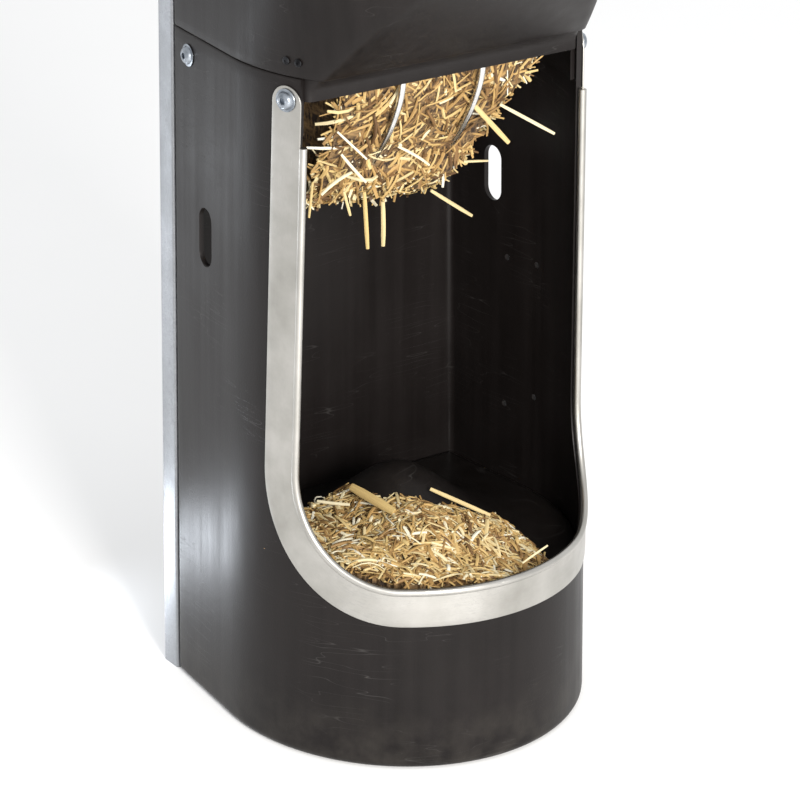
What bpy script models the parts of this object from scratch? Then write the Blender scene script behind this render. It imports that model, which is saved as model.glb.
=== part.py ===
"""Hay rack feeder: a tall D-shaped feeding shell, a hay hopper that nests into it, and a lid.

Metres, +Z up. The flat back faces +Y and the round front faces -Y. Every size is first given
with Y = 0 on the outside of the back panel, and FRAME_SHIFT then moves the model so that the
origin lies under the middle of its bounding box.
"""
import math

import bmesh
import bpy
from mathutils import Matrix, Vector

# ---- Gaps and sheet thicknesses ----
GAP = 0.0003
SHELL_WALL = 0.006
HOPPER_WALL = 0.005
SHEET = 0.0015
STRAP = 0.003

# ---- Feeding shell (plan: flat back, straight sides, half-ellipse front) ----
SHELL_HEIGHT = 0.812
HALF_WIDTH_BASE = 0.2213
HALF_WIDTH_TOP = 0.2085
FRONT_EXTRA = 0.0146
BACK_NARROWING = 0.0145
ARC_CENTRE_Y = -0.1687
CORNER_RADIUS = 0.014
BASE_RADIUS = 0.010
ARC_STEPS = 32
CORNER_STEPS = 3

# ---- Feeding opening and its metal edging ----
MEAN_RADIUS = 0.222
OPENING_ANGLE_TOP = math.radians(65.7)
OPENING_ANGLE_LOW = math.radians(68.75)
OPENING_BOTTOM = 0.2191
OPENING_CORNER = 0.1315
EDGING_WIDTH = 0.037
EDGING_OVERHANG = 0.0022
EDGING_GAP = 0.0008
BEAD_RADIUS = 0.0045
BEAD_DEPTH = -0.0003
BEAD_TOP = 0.736
TONGUE_TOP = 0.802

# ---- Slots and holes in the side walls ----
SLOT_Y = -0.0831
SLOT_Z = 0.583
SLOT_WIDTH = 0.030
SLOT_HEIGHT = 0.069
SIDE_HOLE_RADIUS = 0.004
SIDE_HOLES = ((-0.109, 0.482), (-0.1625, 0.4875), (-0.105, 0.2895), (-0.159, 0.315))

# ---- Raised trough floor ----
TRAY_LEVEL = 0.197
TRAY_WALL = 0.004
TRAY_CLEARANCE = 0.0015
TRAY_MOUND = 0.088
TRAY_MOUND_SPREAD = 0.064
TRAY_MOUND_Y = -0.172
TRAY_INSETS = (0.040, 0.065, 0.090, 0.115, 0.137)
TRAY_CROWN = (0.7, 0.4, 0.12)
TRAY_SHOULDER = 0.012
TRAY_FOOT = 0.013
TRAY_FOOT_TOP = 0.020

# ---- Hopper ----
SKIRT_BOTTOM = 0.745
LIP_BOTTOM = 0.785
LIP_CREASE = 0.797
LIP_Y = -0.270
FRONT_SLOPE = 0.93
FLARE = 0.333
FLARE_TOP = 1.120
HOPPER_TOP = 1.262
CREASE_ROUNDING = 0.008

# ---- Lid ----
LID_CLEARANCE = 0.002
LID_WALL = 0.004
LID_THICKNESS = 0.005
LID_SKIRT = 0.020
LID_LAND = 0.048
LID_PANEL_RISE = 0.010

# ---- Rear rails ----
RAIL_INSET = 0.001
RAIL_WIDTH = 0.042
RAIL_BOLT_INSET = 0.0270
RAIL_BOLT_HEAD = 0.0085
RAIL_DEPTH = 0.0315
RAIL_SHEET = 0.0025
RAIL_TOP = 1.235
RAIL_BOLT_HEIGHTS = {"lower": 0.660, "upper": 1.080}
RAIL_SLOT_HEIGHTS = (0.200, 0.900)

# ---- Hay rack ----
BAR_RADIUS = 0.004
BAR_X = 0.054
BAR_ROUTE = ((-0.2572, 0.840), (-0.2572, 0.800), (-0.2530, 0.768), (-0.2360, 0.730), (-0.2110, 0.694),
             (-0.1780, 0.655), (-0.1350, 0.620), (-0.0850, 0.604), (-0.0400, 0.600), (-0.0105, 0.600))
FRONT_STRAP_LOW = 0.820
FRONT_STRAP_HIGH = 0.842
TAB_CLEARANCE = 0.0032
FLARE_CLEARANCE = 0.0011
REAR_STRAP_Z = 0.600
REAR_STRAP_HALF_LENGTH = 0.125
REAR_STRAP_HEIGHT = 0.024
REAR_BOLT_X = 0.095

# ---- Fasteners ----
SEAM_BOLT_Z = 0.7865
SEAM_BOLT_BACK_Y = -0.044
SEAM_BOLT_FRONT_ANGLE = math.radians(70.3)
NUT_CLEARANCE = 0.0014
M10_RADIUS = 0.0049
M10_HOLE = 0.0053
M8_RADIUS = 0.0039
M8_HOLE = 0.0043
RIVET_RADIUS = 0.0020
RIVET_HOLE = 0.0024
STRAP_RIVET_ANGLES = {"inner": math.radians(67.4), "outer": math.radians(71.6)}

# ---- Hinges and handle ----
HINGE_X = 0.095
HINGE_HALF_WIDTH = 0.030
KNUCKLE_RADIUS = 0.0045
KNUCKLE_SPLIT = 0.0110
HINGE_PIN_RADIUS = 0.0021
HINGE_LEAF = 0.002
HINGE_LEAF_REACH = 0.032
HINGE_RIVET_X = 0.019
HANDLE_HALF_SPAN = 0.062
HANDLE_HEIGHT = 0.032
HANDLE_THICKNESS = 0.0035
HANDLE_WIDTH = 0.022
HANDLE_FOOT = 0.024
HANDLE_Y = -0.466

HOPPER_FRONT = ARC_CENTRE_Y - FLARE * (FLARE_TOP - SHELL_HEIGHT) - HALF_WIDTH_TOP - FRONT_EXTRA
LID_FRONT = HOPPER_FRONT - LID_CLEARANCE - LID_WALL
RAIL_BACK = GAP + RAIL_DEPTH
FRAME_SHIFT = Vector((0.0, -(LID_FRONT + RAIL_BACK) / 2, 0.0))
LID_TOP = HOPPER_TOP + GAP + LID_THICKNESS
HINGE_AXIS = Vector((0.0, GAP + KNUCKLE_RADIUS, LID_TOP + GAP + KNUCKLE_RADIUS))
HOLES = {}


# ---- Scene, materials and objects ----
def clear_scene():
    for item in list(bpy.data.objects):
        bpy.data.objects.remove(item, do_unlink=True)


def make_material(name, colour, roughness, metallic=0.0):
    material = bpy.data.materials.new(name)
    material.use_nodes = True
    shader = material.node_tree.nodes["Principled BSDF"]
    shader.inputs["Base Color"].default_value = (*colour, 1.0)
    shader.inputs["Roughness"].default_value = roughness
    shader.inputs["Metallic"].default_value = metallic
    return material


def add_object(name, bm, material=None, origin=Vector((0.0, 0.0, 0.0)), smooth_angle=35.0):
    """Turn a bmesh given in back-panel coordinates into an object with its origin at `origin`."""
    bmesh.ops.recalc_face_normals(bm, faces=bm.faces)
    bmesh.ops.translate(bm, vec=-origin, verts=bm.verts)
    mesh = bpy.data.meshes.new(name)
    bm.to_mesh(mesh)
    bm.free()
    mesh.shade_smooth()
    mesh.set_sharp_from_angle(angle=math.radians(smooth_angle))
    item = bpy.data.objects.new(name, mesh)
    item.location = origin + FRAME_SHIFT
    bpy.context.scene.collection.objects.link(item)
    if material:
        mesh.materials.append(material)
    else:
        item.hide_render = True
        item.display_type = "WIRE"
    return item


def boolean(target, tool, operation="DIFFERENCE"):
    modifier = target.modifiers.new(operation.title() + " " + tool.name, "BOOLEAN")
    modifier.operation = operation
    modifier.object = tool


def drill(targets, place, radius, low, high, steps=10):
    """Note a round hole for each target; cut_holes makes all of a target's holes in one cut."""
    for target in targets:
        HOLES.setdefault(target.name, []).append((place, radius, low, high, steps))


def cut_holes():
    for name, holes in HOLES.items():
        bm = bmesh.new()
        for place, radius, low, high, steps in holes:
            add_stack(bm, turned(((radius, low), (radius, high)), steps, place))
        boolean(bpy.data.objects[name], add_object(name + "_holes", bm))


# ---- Mesh builders ----
def loft(rings, closed=False):
    bm = bmesh.new()
    add_stack(bm, rings, closed)
    return bm


def add_stack(bm, rings, closed=False):
    """Skin a stack of equal rings, and cap its two ends or join the last ring to the first."""
    loops = [[bm.verts.new(point) for point in ring] for ring in rings]
    count = len(loops[0])
    pairs = list(zip(loops, loops[1:]))
    if closed:
        pairs.append((loops[-1], loops[0]))
    for lower, upper in pairs:
        for i in range(count):
            j = (i + 1) % count
            bm.faces.new((lower[i], lower[j], upper[j], upper[i]))
    if not closed:
        bm.faces.new(loops[0])
        bm.faces.new(loops[-1])


def prism(outline, start, end):
    """Extrude a list of points from offset `start` to offset `end`."""
    return loft([[point + start for point in outline], [point + end for point in outline]])


def block(low, high):
    outline = [Vector((low[0], low[1], 0)), Vector((high[0], low[1], 0)),
               Vector((high[0], high[1], 0)), Vector((low[0], high[1], 0))]
    return prism(outline, Vector((0, 0, low[2])), Vector((0, 0, high[2])))


def turned(profile, steps, place, hex_rings=()):
    """Spin (radius, height) points about Z; rings whose index is in hex_rings become hexagons."""
    rings = []
    for index, (radius, height) in enumerate(profile):
        ring = []
        for step in range(steps):
            angle = 2 * math.pi * step / steps
            reach = radius
            if index in hex_rings:
                reach = radius * math.cos(math.pi / 6) / math.cos(angle % (math.pi / 3) - math.pi / 6)
            ring.append(place @ Vector((reach * math.cos(angle), reach * math.sin(angle), height)))
        rings.append(ring)
    return rings


def obround(centre, across, along, half_width, half_length, steps=8):
    """Closed slot outline round `centre`, with round ends along the unit vector `along`."""
    points = []
    straight = half_length - half_width
    for side in (1, -1):
        for step in range(steps + 1):
            angle = math.pi * step / steps
            offset = across * (half_width * math.cos(angle) * side)
            offset += along * ((half_width * math.sin(angle) + straight) * side)
            points.append(centre + offset)
    return points


def place_along(point, direction):
    """Matrix whose Z axis is `direction` and whose origin is `point`."""
    turn = Vector((0, 0, 1)).rotation_difference(Vector(direction)).to_matrix().to_4x4()
    return Matrix.Translation(point) @ turn


# ---- The D-shaped plan ----
def shell_section(z):
    """Half-width, half-depth, arc centre and back half-width of the feeding shell at height z."""
    half_width = HALF_WIDTH_BASE + (HALF_WIDTH_TOP - HALF_WIDTH_BASE) * z / SHELL_HEIGHT
    return half_width, half_width + FRONT_EXTRA, ARC_CENTRE_Y, half_width - BACK_NARROWING


def hopper_section(z):
    flare = FLARE * (min(max(z, SHELL_HEIGHT), FLARE_TOP) - SHELL_HEIGHT)
    half_width, half_depth, centre, back = shell_section(SHELL_HEIGHT)
    return half_width, half_depth, centre - flare, back


def side_slope(section):
    """Slope of the straight side: the tangent to the front ellipse through the back corner."""
    half_width, half_depth, centre, back = section
    a = centre ** 2 - half_depth ** 2
    b = -2 * back * centre
    c = back ** 2 - half_width ** 2
    return (-b + math.sqrt(b * b - 4 * a * c)) / (2 * a)


def front_limit(z, inset):
    """Plane that flattens the hopper's front above its lip."""
    return LIP_Y - FRONT_SLOPE * max(z - LIP_CREASE, 0.0) + inset


def plan(section, z, inset=0.0, back_y=None, flat_front=False):
    """One closed D-shaped ring at height z, `inset` inside the given section."""
    half_width, half_depth, centre, _ = section
    slope = math.atan(side_slope(section))
    half_width -= inset
    half_depth -= inset
    back_y = -inset if back_y is None else back_y
    corner = max(CORNER_RADIUS - inset, 0.002)
    reach = math.hypot(half_width * math.cos(slope), half_depth * math.sin(slope))
    corner_y = back_y - corner
    corner_x = (reach - corner - (corner_y - centre) * math.sin(slope)) / math.cos(slope)
    first = math.atan(half_depth / half_width * math.tan(slope))
    right = []
    for step in range(CORNER_STEPS + 1):
        angle = math.pi / 2 + (slope - math.pi / 2) * step / CORNER_STEPS
        right.append((corner_x + corner * math.cos(angle), corner_y + corner * math.sin(angle)))
    front = []
    for step in range(ARC_STEPS + 1):
        angle = first - (math.pi + 2 * first) * step / ARC_STEPS
        front.append((half_width * math.cos(angle), centre + half_depth * math.sin(angle)))
    if flat_front:
        limit = front_limit(z, inset)
        front = [(x, smooth_max(y, limit)) for x, y in front]
    left = [(-x, y) for x, y in reversed(right)]
    return [Vector((x, y, z)) for x, y in right + front + left]


def smooth_max(a, b):
    return (a + b + math.hypot(a - b, CREASE_ROUNDING)) / 2


def on_front(angle, z, depth=0.0, section=shell_section):
    """Point on the round front, `angle` from straight ahead and `depth` under the surface."""
    half_width, half_depth, centre, _ = section(z)
    x = (half_width - depth) * math.sin(angle)
    y = centre - (half_depth - depth) * math.cos(angle)
    return Vector((x, y, z))


def front_normal(angle, z, section=shell_section):
    half_width, half_depth, _, _ = section(z)
    return Vector((math.sin(angle) / half_width, -math.cos(angle) / half_depth, 0)).normalized()


def on_side(y, z, side):
    """Point on the straight side wall and its outward normal; side is -1 left or 1 right."""
    section = shell_section(z)
    slope = math.atan(side_slope(section))
    half_width, half_depth, centre, _ = section
    reach = math.hypot(half_width * math.cos(slope), half_depth * math.sin(slope))
    x = (reach - (y - centre) * math.sin(slope)) / math.cos(slope)
    return Vector((side * x, y, z)), Vector((side * math.cos(slope), math.sin(slope), 0))


# ---- Feeding shell ----
def build_shell(material):
    rings = []
    for step in range(5):
        angle = math.pi / 2 * step / 4
        z = BASE_RADIUS * (1 - math.cos(angle))
        inset = BASE_RADIUS * (1 - math.sin(angle))
        rings.append(plan(shell_section(z), z, inset))
    rings.append(plan(shell_section(SHELL_HEIGHT), SHELL_HEIGHT))
    rings.append(plan(shell_section(SHELL_HEIGHT), SHELL_HEIGHT, SHELL_WALL))
    for z, extra in ((SHELL_WALL + 0.012, 0.0), (SHELL_WALL + 0.0035, 0.0035), (SHELL_WALL, 0.012)):
        rings.append(plan(shell_section(z), z, SHELL_WALL + extra))
    return add_object("lower_body", loft(rings), material)


def opening_rows():
    """(height, half-width along the surface) of the opening, from its bottom to the shell's top."""
    low_half = OPENING_ANGLE_LOW * MEAN_RADIUS
    top_half = OPENING_ANGLE_TOP * MEAN_RADIUS
    corner_z = OPENING_BOTTOM + OPENING_CORNER
    rows = []
    for step in range(11):
        angle = math.pi / 2 * step / 10
        half = low_half - OPENING_CORNER * (1 - math.sin(angle))
        rows.append((corner_z - OPENING_CORNER * math.cos(angle), half))
    for step in range(1, 4):
        share = step / 3
        rows.append((corner_z + (TONGUE_TOP - corner_z) * share, low_half + (top_half - low_half) * share))
    return rows


def build_opening_cutter():
    rows = opening_rows()
    rows.append((SHELL_HEIGHT + 0.03, OPENING_ANGLE_TOP * MEAN_RADIUS))
    columns = 20
    bm = bmesh.new()
    layers = []
    for depth in (-0.02, 0.05):
        layer = []
        for z, half in rows:
            angles = [half / MEAN_RADIUS * (2 * c / columns - 1) for c in range(columns + 1)]
            layer.append([bm.verts.new(on_front(angle, z, depth)) for angle in angles])
        layers.append(layer)
    for layer in layers:
        for low, high in zip(layer, layer[1:]):
            for c in range(columns):
                bm.faces.new((low[c], low[c + 1], high[c + 1], high[c]))
    outer, inner = [border_loop(layer) for layer in layers]
    for i in range(len(outer)):
        j = (i + 1) % len(outer)
        bm.faces.new((outer[i], outer[j], inner[j], inner[i]))
    return add_object("opening_cutter", bm)


def border_loop(layer):
    right = [row[-1] for row in layer[1:-1]]
    left = [row[0] for row in reversed(layer[1:-1])]
    return layer[0] + right + list(reversed(layer[-1])) + left


def build_slot_cutter():
    outline = obround(Vector((0, SLOT_Y, SLOT_Z)), Vector((0, 1, 0)), Vector((0, 0, 1)),
                      SLOT_WIDTH / 2, SLOT_HEIGHT / 2)
    return add_object("slot_cutter", prism(outline, Vector((-0.3, 0, 0)), Vector((0.3, 0, 0))))


# ---- Metal edging ----
def edging_route(top):
    """Points (along, height) down the left edge, round the bottom and up the right, to height top."""
    rows = [row for row in opening_rows() if row[0] < top - 0.001]
    half_top = rows[-1][1]
    half_top += (OPENING_ANGLE_TOP * MEAN_RADIUS - half_top) * (top - rows[-1][0]) / (TONGUE_TOP - rows[-1][0])
    right = [Vector((half, z)) for z, half in rows] + [Vector((half_top, top))]
    left = [Vector((-point.x, point.y)) for point in reversed(right)]
    bottom = []
    spans = 10
    for step in range(1, spans):
        bottom.append(left[-1].lerp(right[0], step / spans))
    return left + bottom + right


def route_normals(route):
    """Unit vectors that point away from the opening, across the route."""
    normals = []
    for i in range(len(route)):
        run = route[min(i + 1, len(route) - 1)] - route[max(i - 1, 0)]
        normals.append(Vector((run.y, -run.x)).normalized())
    return normals


def edging_ring(point, normal, profile):
    """Lay (across, depth) profile points over the shell at one point of the route."""
    ring = []
    for across, depth in profile:
        spot = point + normal * across
        ring.append(on_front(spot.x / MEAN_RADIUS, spot.y, depth))
    return ring


def flange_profile(width, middle):
    """Outer flange section: three strips across, just off the shell."""
    edges = [middle + width * (step / 3 - 0.5) for step in range(4)]
    outer = [(across, -EDGING_GAP - SHEET) for across in edges]
    inner = [(across, -EDGING_GAP) for across in reversed(edges)]
    return outer + inner


def build_edging(material):
    """Flange round the opening and up both tongues; its bead, rolled over the cut edge, is returned too."""
    full = EDGING_WIDTH + EDGING_OVERHANG
    middle = (EDGING_WIDTH - EDGING_OVERHANG) / 2
    route = edging_route(TONGUE_TOP - full / 2)
    normals = route_normals(route)
    rings = [edging_ring(point, normal, flange_profile(full, middle)) for point, normal in zip(route, normals)]
    cap_steps = 6
    for end, neighbour in ((0, 1), (-1, -2)):
        rise = (route[end] - route[neighbour]).normalized()
        caps = []
        for step in range(1, cap_steps + 1):
            angle = math.pi / 2 * step / cap_steps * 0.985
            lifted = route[end] + rise * (full / 2 * math.sin(angle))
            caps.append(edging_ring(lifted, normals[end], flange_profile(full * math.cos(angle), middle)))
        rings = list(reversed(caps)) + rings if end == 0 else rings + caps
    edging = add_object("opening_edging", loft(rings), material)
    bead_route = edging_route(BEAD_TOP)
    bead_rings = [edging_ring(point, normal, bead_profile(10))
                  for point, normal in zip(bead_route, route_normals(bead_route))]
    return edging, add_object("edging_bead", loft(bead_rings))


def bead_profile(steps):
    """Round bead section, just inside the opening's cut edge."""
    profile = []
    for step in range(steps):
        angle = 2 * math.pi * step / steps
        across = BEAD_RADIUS * math.cos(angle) - BEAD_RADIUS - EDGING_GAP
        profile.append((across, BEAD_DEPTH + BEAD_RADIUS * math.sin(angle)))
    return profile


# ---- Raised trough floor ----
def mound_height(x, y):
    """Height of the tray's top above its flat border."""
    spread = (x * x + (y - TRAY_MOUND_Y) ** 2) / (2 * TRAY_MOUND_SPREAD ** 2)
    return TRAY_MOUND * math.exp(-spread)


def tray_ring(inset, level, mounded=False, share=1.0):
    """Tray outline `inset` inside its side walls, drawn in to `share` of its size round the mound's top."""
    centre = Vector((0.0, TRAY_MOUND_Y, level))
    ring = plan(shell_section(level), level, SHELL_WALL + TRAY_CLEARANCE + inset)
    ring = [centre.lerp(point, share) for point in ring]
    if mounded:
        for point in ring:
            point.z += mound_height(point.x, point.y)
    return ring


def tray_crown(level):
    return [tray_ring(TRAY_INSETS[-1], level, True, share) for share in TRAY_CROWN]


def build_tray(material):
    """Upturned tub that stands on the shell's base and carries the hay at a reachable height."""
    base = SHELL_WALL + GAP
    shoulder = TRAY_SHOULDER
    outer = [tray_ring(TRAY_FOOT, base), tray_ring(0.0, TRAY_FOOT_TOP), tray_ring(0.0, TRAY_LEVEL - shoulder),
             tray_ring(shoulder * 0.3, TRAY_LEVEL - shoulder * 0.3), tray_ring(shoulder, TRAY_LEVEL, True)]
    outer += [tray_ring(inset, TRAY_LEVEL, True) for inset in TRAY_INSETS] + tray_crown(TRAY_LEVEL)
    under = TRAY_LEVEL - TRAY_WALL
    inner = list(reversed(tray_crown(under))) + [tray_ring(inset, under, True) for inset in reversed(TRAY_INSETS)]
    inner += [tray_ring(shoulder + 0.001, under, True), tray_ring(TRAY_WALL, under - shoulder),
              tray_ring(TRAY_WALL, TRAY_FOOT_TOP), tray_ring(TRAY_FOOT + TRAY_WALL, base)]
    rings = list(reversed(outer)) + list(reversed(inner))
    return add_object("trough_tray", loft(rings), material)


# ---- Hopper ----
def build_hopper(material):
    nest = SHELL_WALL + GAP
    levels = [(SKIRT_BOTTOM, nest), (SHELL_HEIGHT + GAP, nest),
              (SHELL_HEIGHT + GAP, 0.0012), (SHELL_HEIGHT + GAP + 0.0012, 0.0)]
    slope_levels = 6
    for step in range(1, slope_levels + 1):
        levels.append((SHELL_HEIGHT + (1.03 - SHELL_HEIGHT) * step / slope_levels, 0.0))
    levels += [(FLARE_TOP - 0.012, 0.0), (FLARE_TOP + 0.012, 0.0), (HOPPER_TOP, 0.0)]
    inner_levels = [(SKIRT_BOTTOM, nest + HOPPER_WALL), (SHELL_HEIGHT - 0.005, nest + HOPPER_WALL),
                    (SHELL_HEIGHT + 0.006, HOPPER_WALL)]
    inner_levels += [(z, HOPPER_WALL) for z, _ in levels if z > SHELL_HEIGHT + 0.01]
    rings = [hopper_ring(z, inset) for z, inset in levels]
    rings += [hopper_ring(z, inset) for z, inset in reversed(inner_levels)]
    return add_object("hopper", loft(rings, closed=True), material)


def hopper_ring(z, inset):
    section = shell_section(z) if z < SHELL_HEIGHT else hopper_section(z)
    return plan(section, z, inset, flat_front=True)


def build_lip_cutter():
    """Clears the hopper's skirt from the feeding opening, below the front lip."""
    return add_object("lip_cutter", block((-0.3, -0.5, 0.6), (0.3, LIP_Y + 0.018, LIP_BOTTOM)))


# ---- Lid ----
def build_lid(material):
    section = hopper_section(HOPPER_TOP)
    outset = -(LID_CLEARANCE + LID_WALL)
    under = HOPPER_TOP + GAP
    rim_z = HOPPER_TOP - LID_SKIRT
    panel = LID_LAND + 0.014
    steps = ((panel + 0.10, LID_TOP + LID_PANEL_RISE + 0.003), (panel, LID_TOP + LID_PANEL_RISE),
             (LID_LAND, LID_TOP), (outset + 0.003, LID_TOP), (outset, LID_TOP - 0.003), (outset, rim_z),
             (-LID_CLEARANCE, rim_z), (-LID_CLEARANCE, under),
             (LID_LAND + 0.004, under), (panel + 0.004, LID_TOP + LID_PANEL_RISE - LID_THICKNESS),
             (panel + 0.10, LID_TOP + LID_PANEL_RISE + 0.003 - LID_THICKNESS))
    rings = []
    for inset, z in steps:
        rings.append(plan(section, z, inset, back_y=-max(inset, 0.0)))
    return add_object("lid", loft(rings), material, origin=HINGE_AXIS)


def build_lid_back_cutter():
    """Leaves the lid without a skirt along its hinge side."""
    top = HOPPER_TOP + GAP * 2
    return add_object("lid_back_cutter", block((-0.3, -0.018, HOPPER_TOP - 0.05), (0.3, 0.05, top)))


# ---- Rear rails ----
def build_rail(name, side, material):
    front = GAP
    back = RAIL_BACK
    rings = []
    for z in (0.0, RAIL_TOP):
        outer = rail_outer_x(z)
        inner = outer - RAIL_WIDTH
        web = outer - RAIL_SHEET
        corners = ((inner, front), (outer, front), (outer, back), (inner, back), (inner, back - RAIL_SHEET),
                   (web, back - RAIL_SHEET), (web, front + RAIL_SHEET), (inner, front + RAIL_SHEET))
        rings.append([Vector((side * x, y, z)) for x, y in corners])
    return add_object(name, loft(rings), material)


def rail_outer_x(z):
    """The rails lean in with the shell's tapered sides."""
    return shell_section(z)[3] - RAIL_INSET


def build_rail_slot(name, side, z):
    centre = Vector((side * (rail_outer_x(z) - RAIL_BOLT_INSET), RAIL_BACK - 0.01, z))
    outline = obround(centre, Vector((1, 0, 0)), Vector((0, 0, 1)), 0.0045, 0.016, steps=6)
    return add_object(name, prism(outline, Vector((0, 0, 0)), Vector((0, 0.02, 0))))


# ---- Hay rack ----
def build_bar(name, x, material):
    curve = bpy.data.curves.new(name, "CURVE")
    curve.dimensions = "3D"
    curve.bevel_depth = BAR_RADIUS
    curve.bevel_resolution = 2
    curve.use_fill_caps = True
    route = smooth_route([Vector((x, y, z)) for y, z in BAR_ROUTE], 3)
    spline = curve.splines.new("POLY")
    spline.points.add(len(route) - 1)
    for point, spot in zip(spline.points, route):
        point.co = (*spot, 1.0)
    curve.materials.append(material)
    item = bpy.data.objects.new(name, curve)
    item.location = FRAME_SHIFT
    bpy.context.scene.collection.objects.link(item)
    return item


def smooth_route(points, parts):
    """Catmull-Rom curve through the points, with `parts` pieces between neighbours."""
    padded = [points[0] * 2 - points[1]] + points + [points[-1] * 2 - points[-2]]
    route = []
    for a, b, c, d in zip(padded, padded[1:], padded[2:], padded[3:]):
        for part in range(parts):
            t = part / parts
            route.append((b * 2 + (c - a) * t + (a * 2 - b * 5 + c * 4 - d) * t ** 2
                          + (b * 3 - a - c * 3 + d) * t ** 3) / 2)
    return route + [points[-1]]


def build_front_strap(material):
    """Flat strap behind the lip, with a tab that follows the hopper's inside at each end."""
    z = (FRONT_STRAP_LOW + FRONT_STRAP_HIGH) / 2
    back_face = LIP_Y + HOPPER_WALL + 0.0005 + STRAP
    offset = HOPPER_WALL + TAB_CLEARANCE
    outer_tab = [on_front(math.radians(a), z, offset, hopper_section) for a in (63.5, 66.5, 69.5, 73.0)]
    inner_tab = [on_front(math.radians(a), z, offset + STRAP, hopper_section) for a in (64.0, 66.5, 69.5, 73.0)]
    outer = [Vector((0.150, back_face - STRAP, z))] + outer_tab
    inner = [Vector((0.148, back_face, z))] + inner_tab
    left_inner = [Vector((-p.x, p.y, p.z)) for p in inner]
    left_outer = [Vector((-p.x, p.y, p.z)) for p in outer]
    outline = outer + list(reversed(inner)) + left_inner + list(reversed(left_outer))
    lift = (FRONT_STRAP_HIGH - FRONT_STRAP_LOW) / 2
    return add_object("rack_front_strap", prism(outline, Vector((0, 0, -lift)), Vector((0, 0, lift))), material)


def build_rear_strap(material):
    front = -SHELL_WALL - GAP - STRAP
    half = REAR_STRAP_HEIGHT / 2
    low = (-REAR_STRAP_HALF_LENGTH, front, REAR_STRAP_Z - half)
    high = (REAR_STRAP_HALF_LENGTH, front + STRAP, REAR_STRAP_Z + half)
    return add_object("rack_rear_strap", block(low, high), material)


# ---- Fasteners: local Z points out of the head ----
def build_seam_bolt(name, place, seat, material):
    profile = ((M10_RADIUS, -0.0245), (M10_RADIUS, seat), (0.0130, seat), (0.0130, seat + 0.0014),
               (0.0090, seat + 0.0026), (0.0082, seat + 0.0050), (0.0060, seat + 0.0066),
               (0.0036, seat + 0.0070), (0.0034, seat + 0.0035))
    return add_object(name, loft(turned(profile, 16, place, hex_rings=(7, 8))), material)


def build_bolt(name, place, grip, head, radius, material):
    profile = ((radius, -grip), (radius, GAP), (head, GAP), (head, GAP + 0.0012),
               (head * 0.72, GAP + 0.0040), (head * 0.25, GAP + 0.0052))
    return add_object(name, loft(turned(profile, 12, place)), material)


def build_nut(name, place, hole, across, thickness, material):
    """Flange nut; its seat is at local z = 0 and it grows along -Z."""
    flange = across * 0.64
    hexagon = across * 0.56
    profile = ((hole, 0.0), (flange, 0.0), (flange, -0.0014), (hexagon, -0.0022), (hexagon, -thickness),
               (hole, -thickness))
    return add_object(name, loft(turned(profile, 12, place, hex_rings=(3, 4)), closed=True), material)


def build_rivet(name, place, grip, material):
    """Blind rivet: low domed head outside, shank through the grip, bulb on the far side."""
    profile = ((0.0020, -grip - 0.0030), (0.0031, -grip - GAP), (RIVET_RADIUS, -grip - GAP),
               (RIVET_RADIUS, GAP), (0.0046, GAP), (0.0022, GAP + 0.0017))
    return add_object(name, loft(turned(profile, 10, place)), material)


# ---- Hinges ----
def build_knuckle(name, low, high):
    """Hinge barrel with its bore, along X from low to high."""
    place = Matrix.Translation(HINGE_AXIS) @ Matrix.Rotation(math.pi / 2, 4, "Y")
    bore = HINGE_PIN_RADIUS + GAP
    profile = ((bore, low), (KNUCKLE_RADIUS, low), (KNUCKLE_RADIUS, high), (bore, high))
    return add_object(name, loft(turned(profile, 16, place), closed=True))


def hinge_spans(x, fixed):
    if fixed:
        return ((x - HINGE_HALF_WIDTH, x - KNUCKLE_SPLIT), (x + KNUCKLE_SPLIT, x + HINGE_HALF_WIDTH))
    return ((x - KNUCKLE_SPLIT + GAP, x + KNUCKLE_SPLIT - GAP),)


def build_hinge_leaf(name, x, fixed, material):
    """Leaf plate with necks up to its own knuckles; the fixed leaf hangs down, the other lies flat."""
    clear = KNUCKLE_RADIUS + 0.0015
    spans = hinge_spans(x, fixed)
    if fixed:
        plate = block((x - HINGE_HALF_WIDTH, GAP, HINGE_AXIS.z - HINGE_LEAF_REACH),
                      (x + HINGE_HALF_WIDTH, GAP + HINGE_LEAF, HINGE_AXIS.z - clear))
        leaf = add_object(name, plate, material)
    else:
        plate = block((x - HINGE_HALF_WIDTH, HINGE_AXIS.y - HINGE_LEAF_REACH, LID_TOP + GAP),
                      (x + HINGE_HALF_WIDTH, HINGE_AXIS.y - clear, LID_TOP + GAP + HINGE_LEAF))
        leaf = add_object(name, plate, material, origin=HINGE_AXIS)
    for index, (low, high) in enumerate(spans):
        if fixed:
            neck = block((low, GAP, HINGE_AXIS.z - clear - 0.003), (high, GAP + HINGE_LEAF, HINGE_AXIS.z - 0.0026))
        else:
            neck = block((low, HINGE_AXIS.y - clear - 0.003, LID_TOP + GAP),
                         (high, HINGE_AXIS.y - 0.0026, LID_TOP + GAP + HINGE_LEAF))
        boolean(leaf, add_object(f"{name}_neck_{index}", neck), "UNION")
        boolean(leaf, build_knuckle(f"{name}_knuckle_{index}", low, high), "UNION")
    return leaf


def build_hinge_pin(name, x, material):
    place = Matrix.Translation(HINGE_AXIS) @ Matrix.Rotation(math.pi / 2, 4, "Y")
    ends = x + HINGE_HALF_WIDTH
    start = x - HINGE_HALF_WIDTH
    profile = ((0.0036, start - 0.0020), (0.0036, start - GAP), (HINGE_PIN_RADIUS, start - GAP),
               (HINGE_PIN_RADIUS, ends + GAP), (0.0036, ends + GAP), (0.0036, ends + 0.0020))
    return add_object(name, loft(turned(profile, 12, place)), material)


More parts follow.
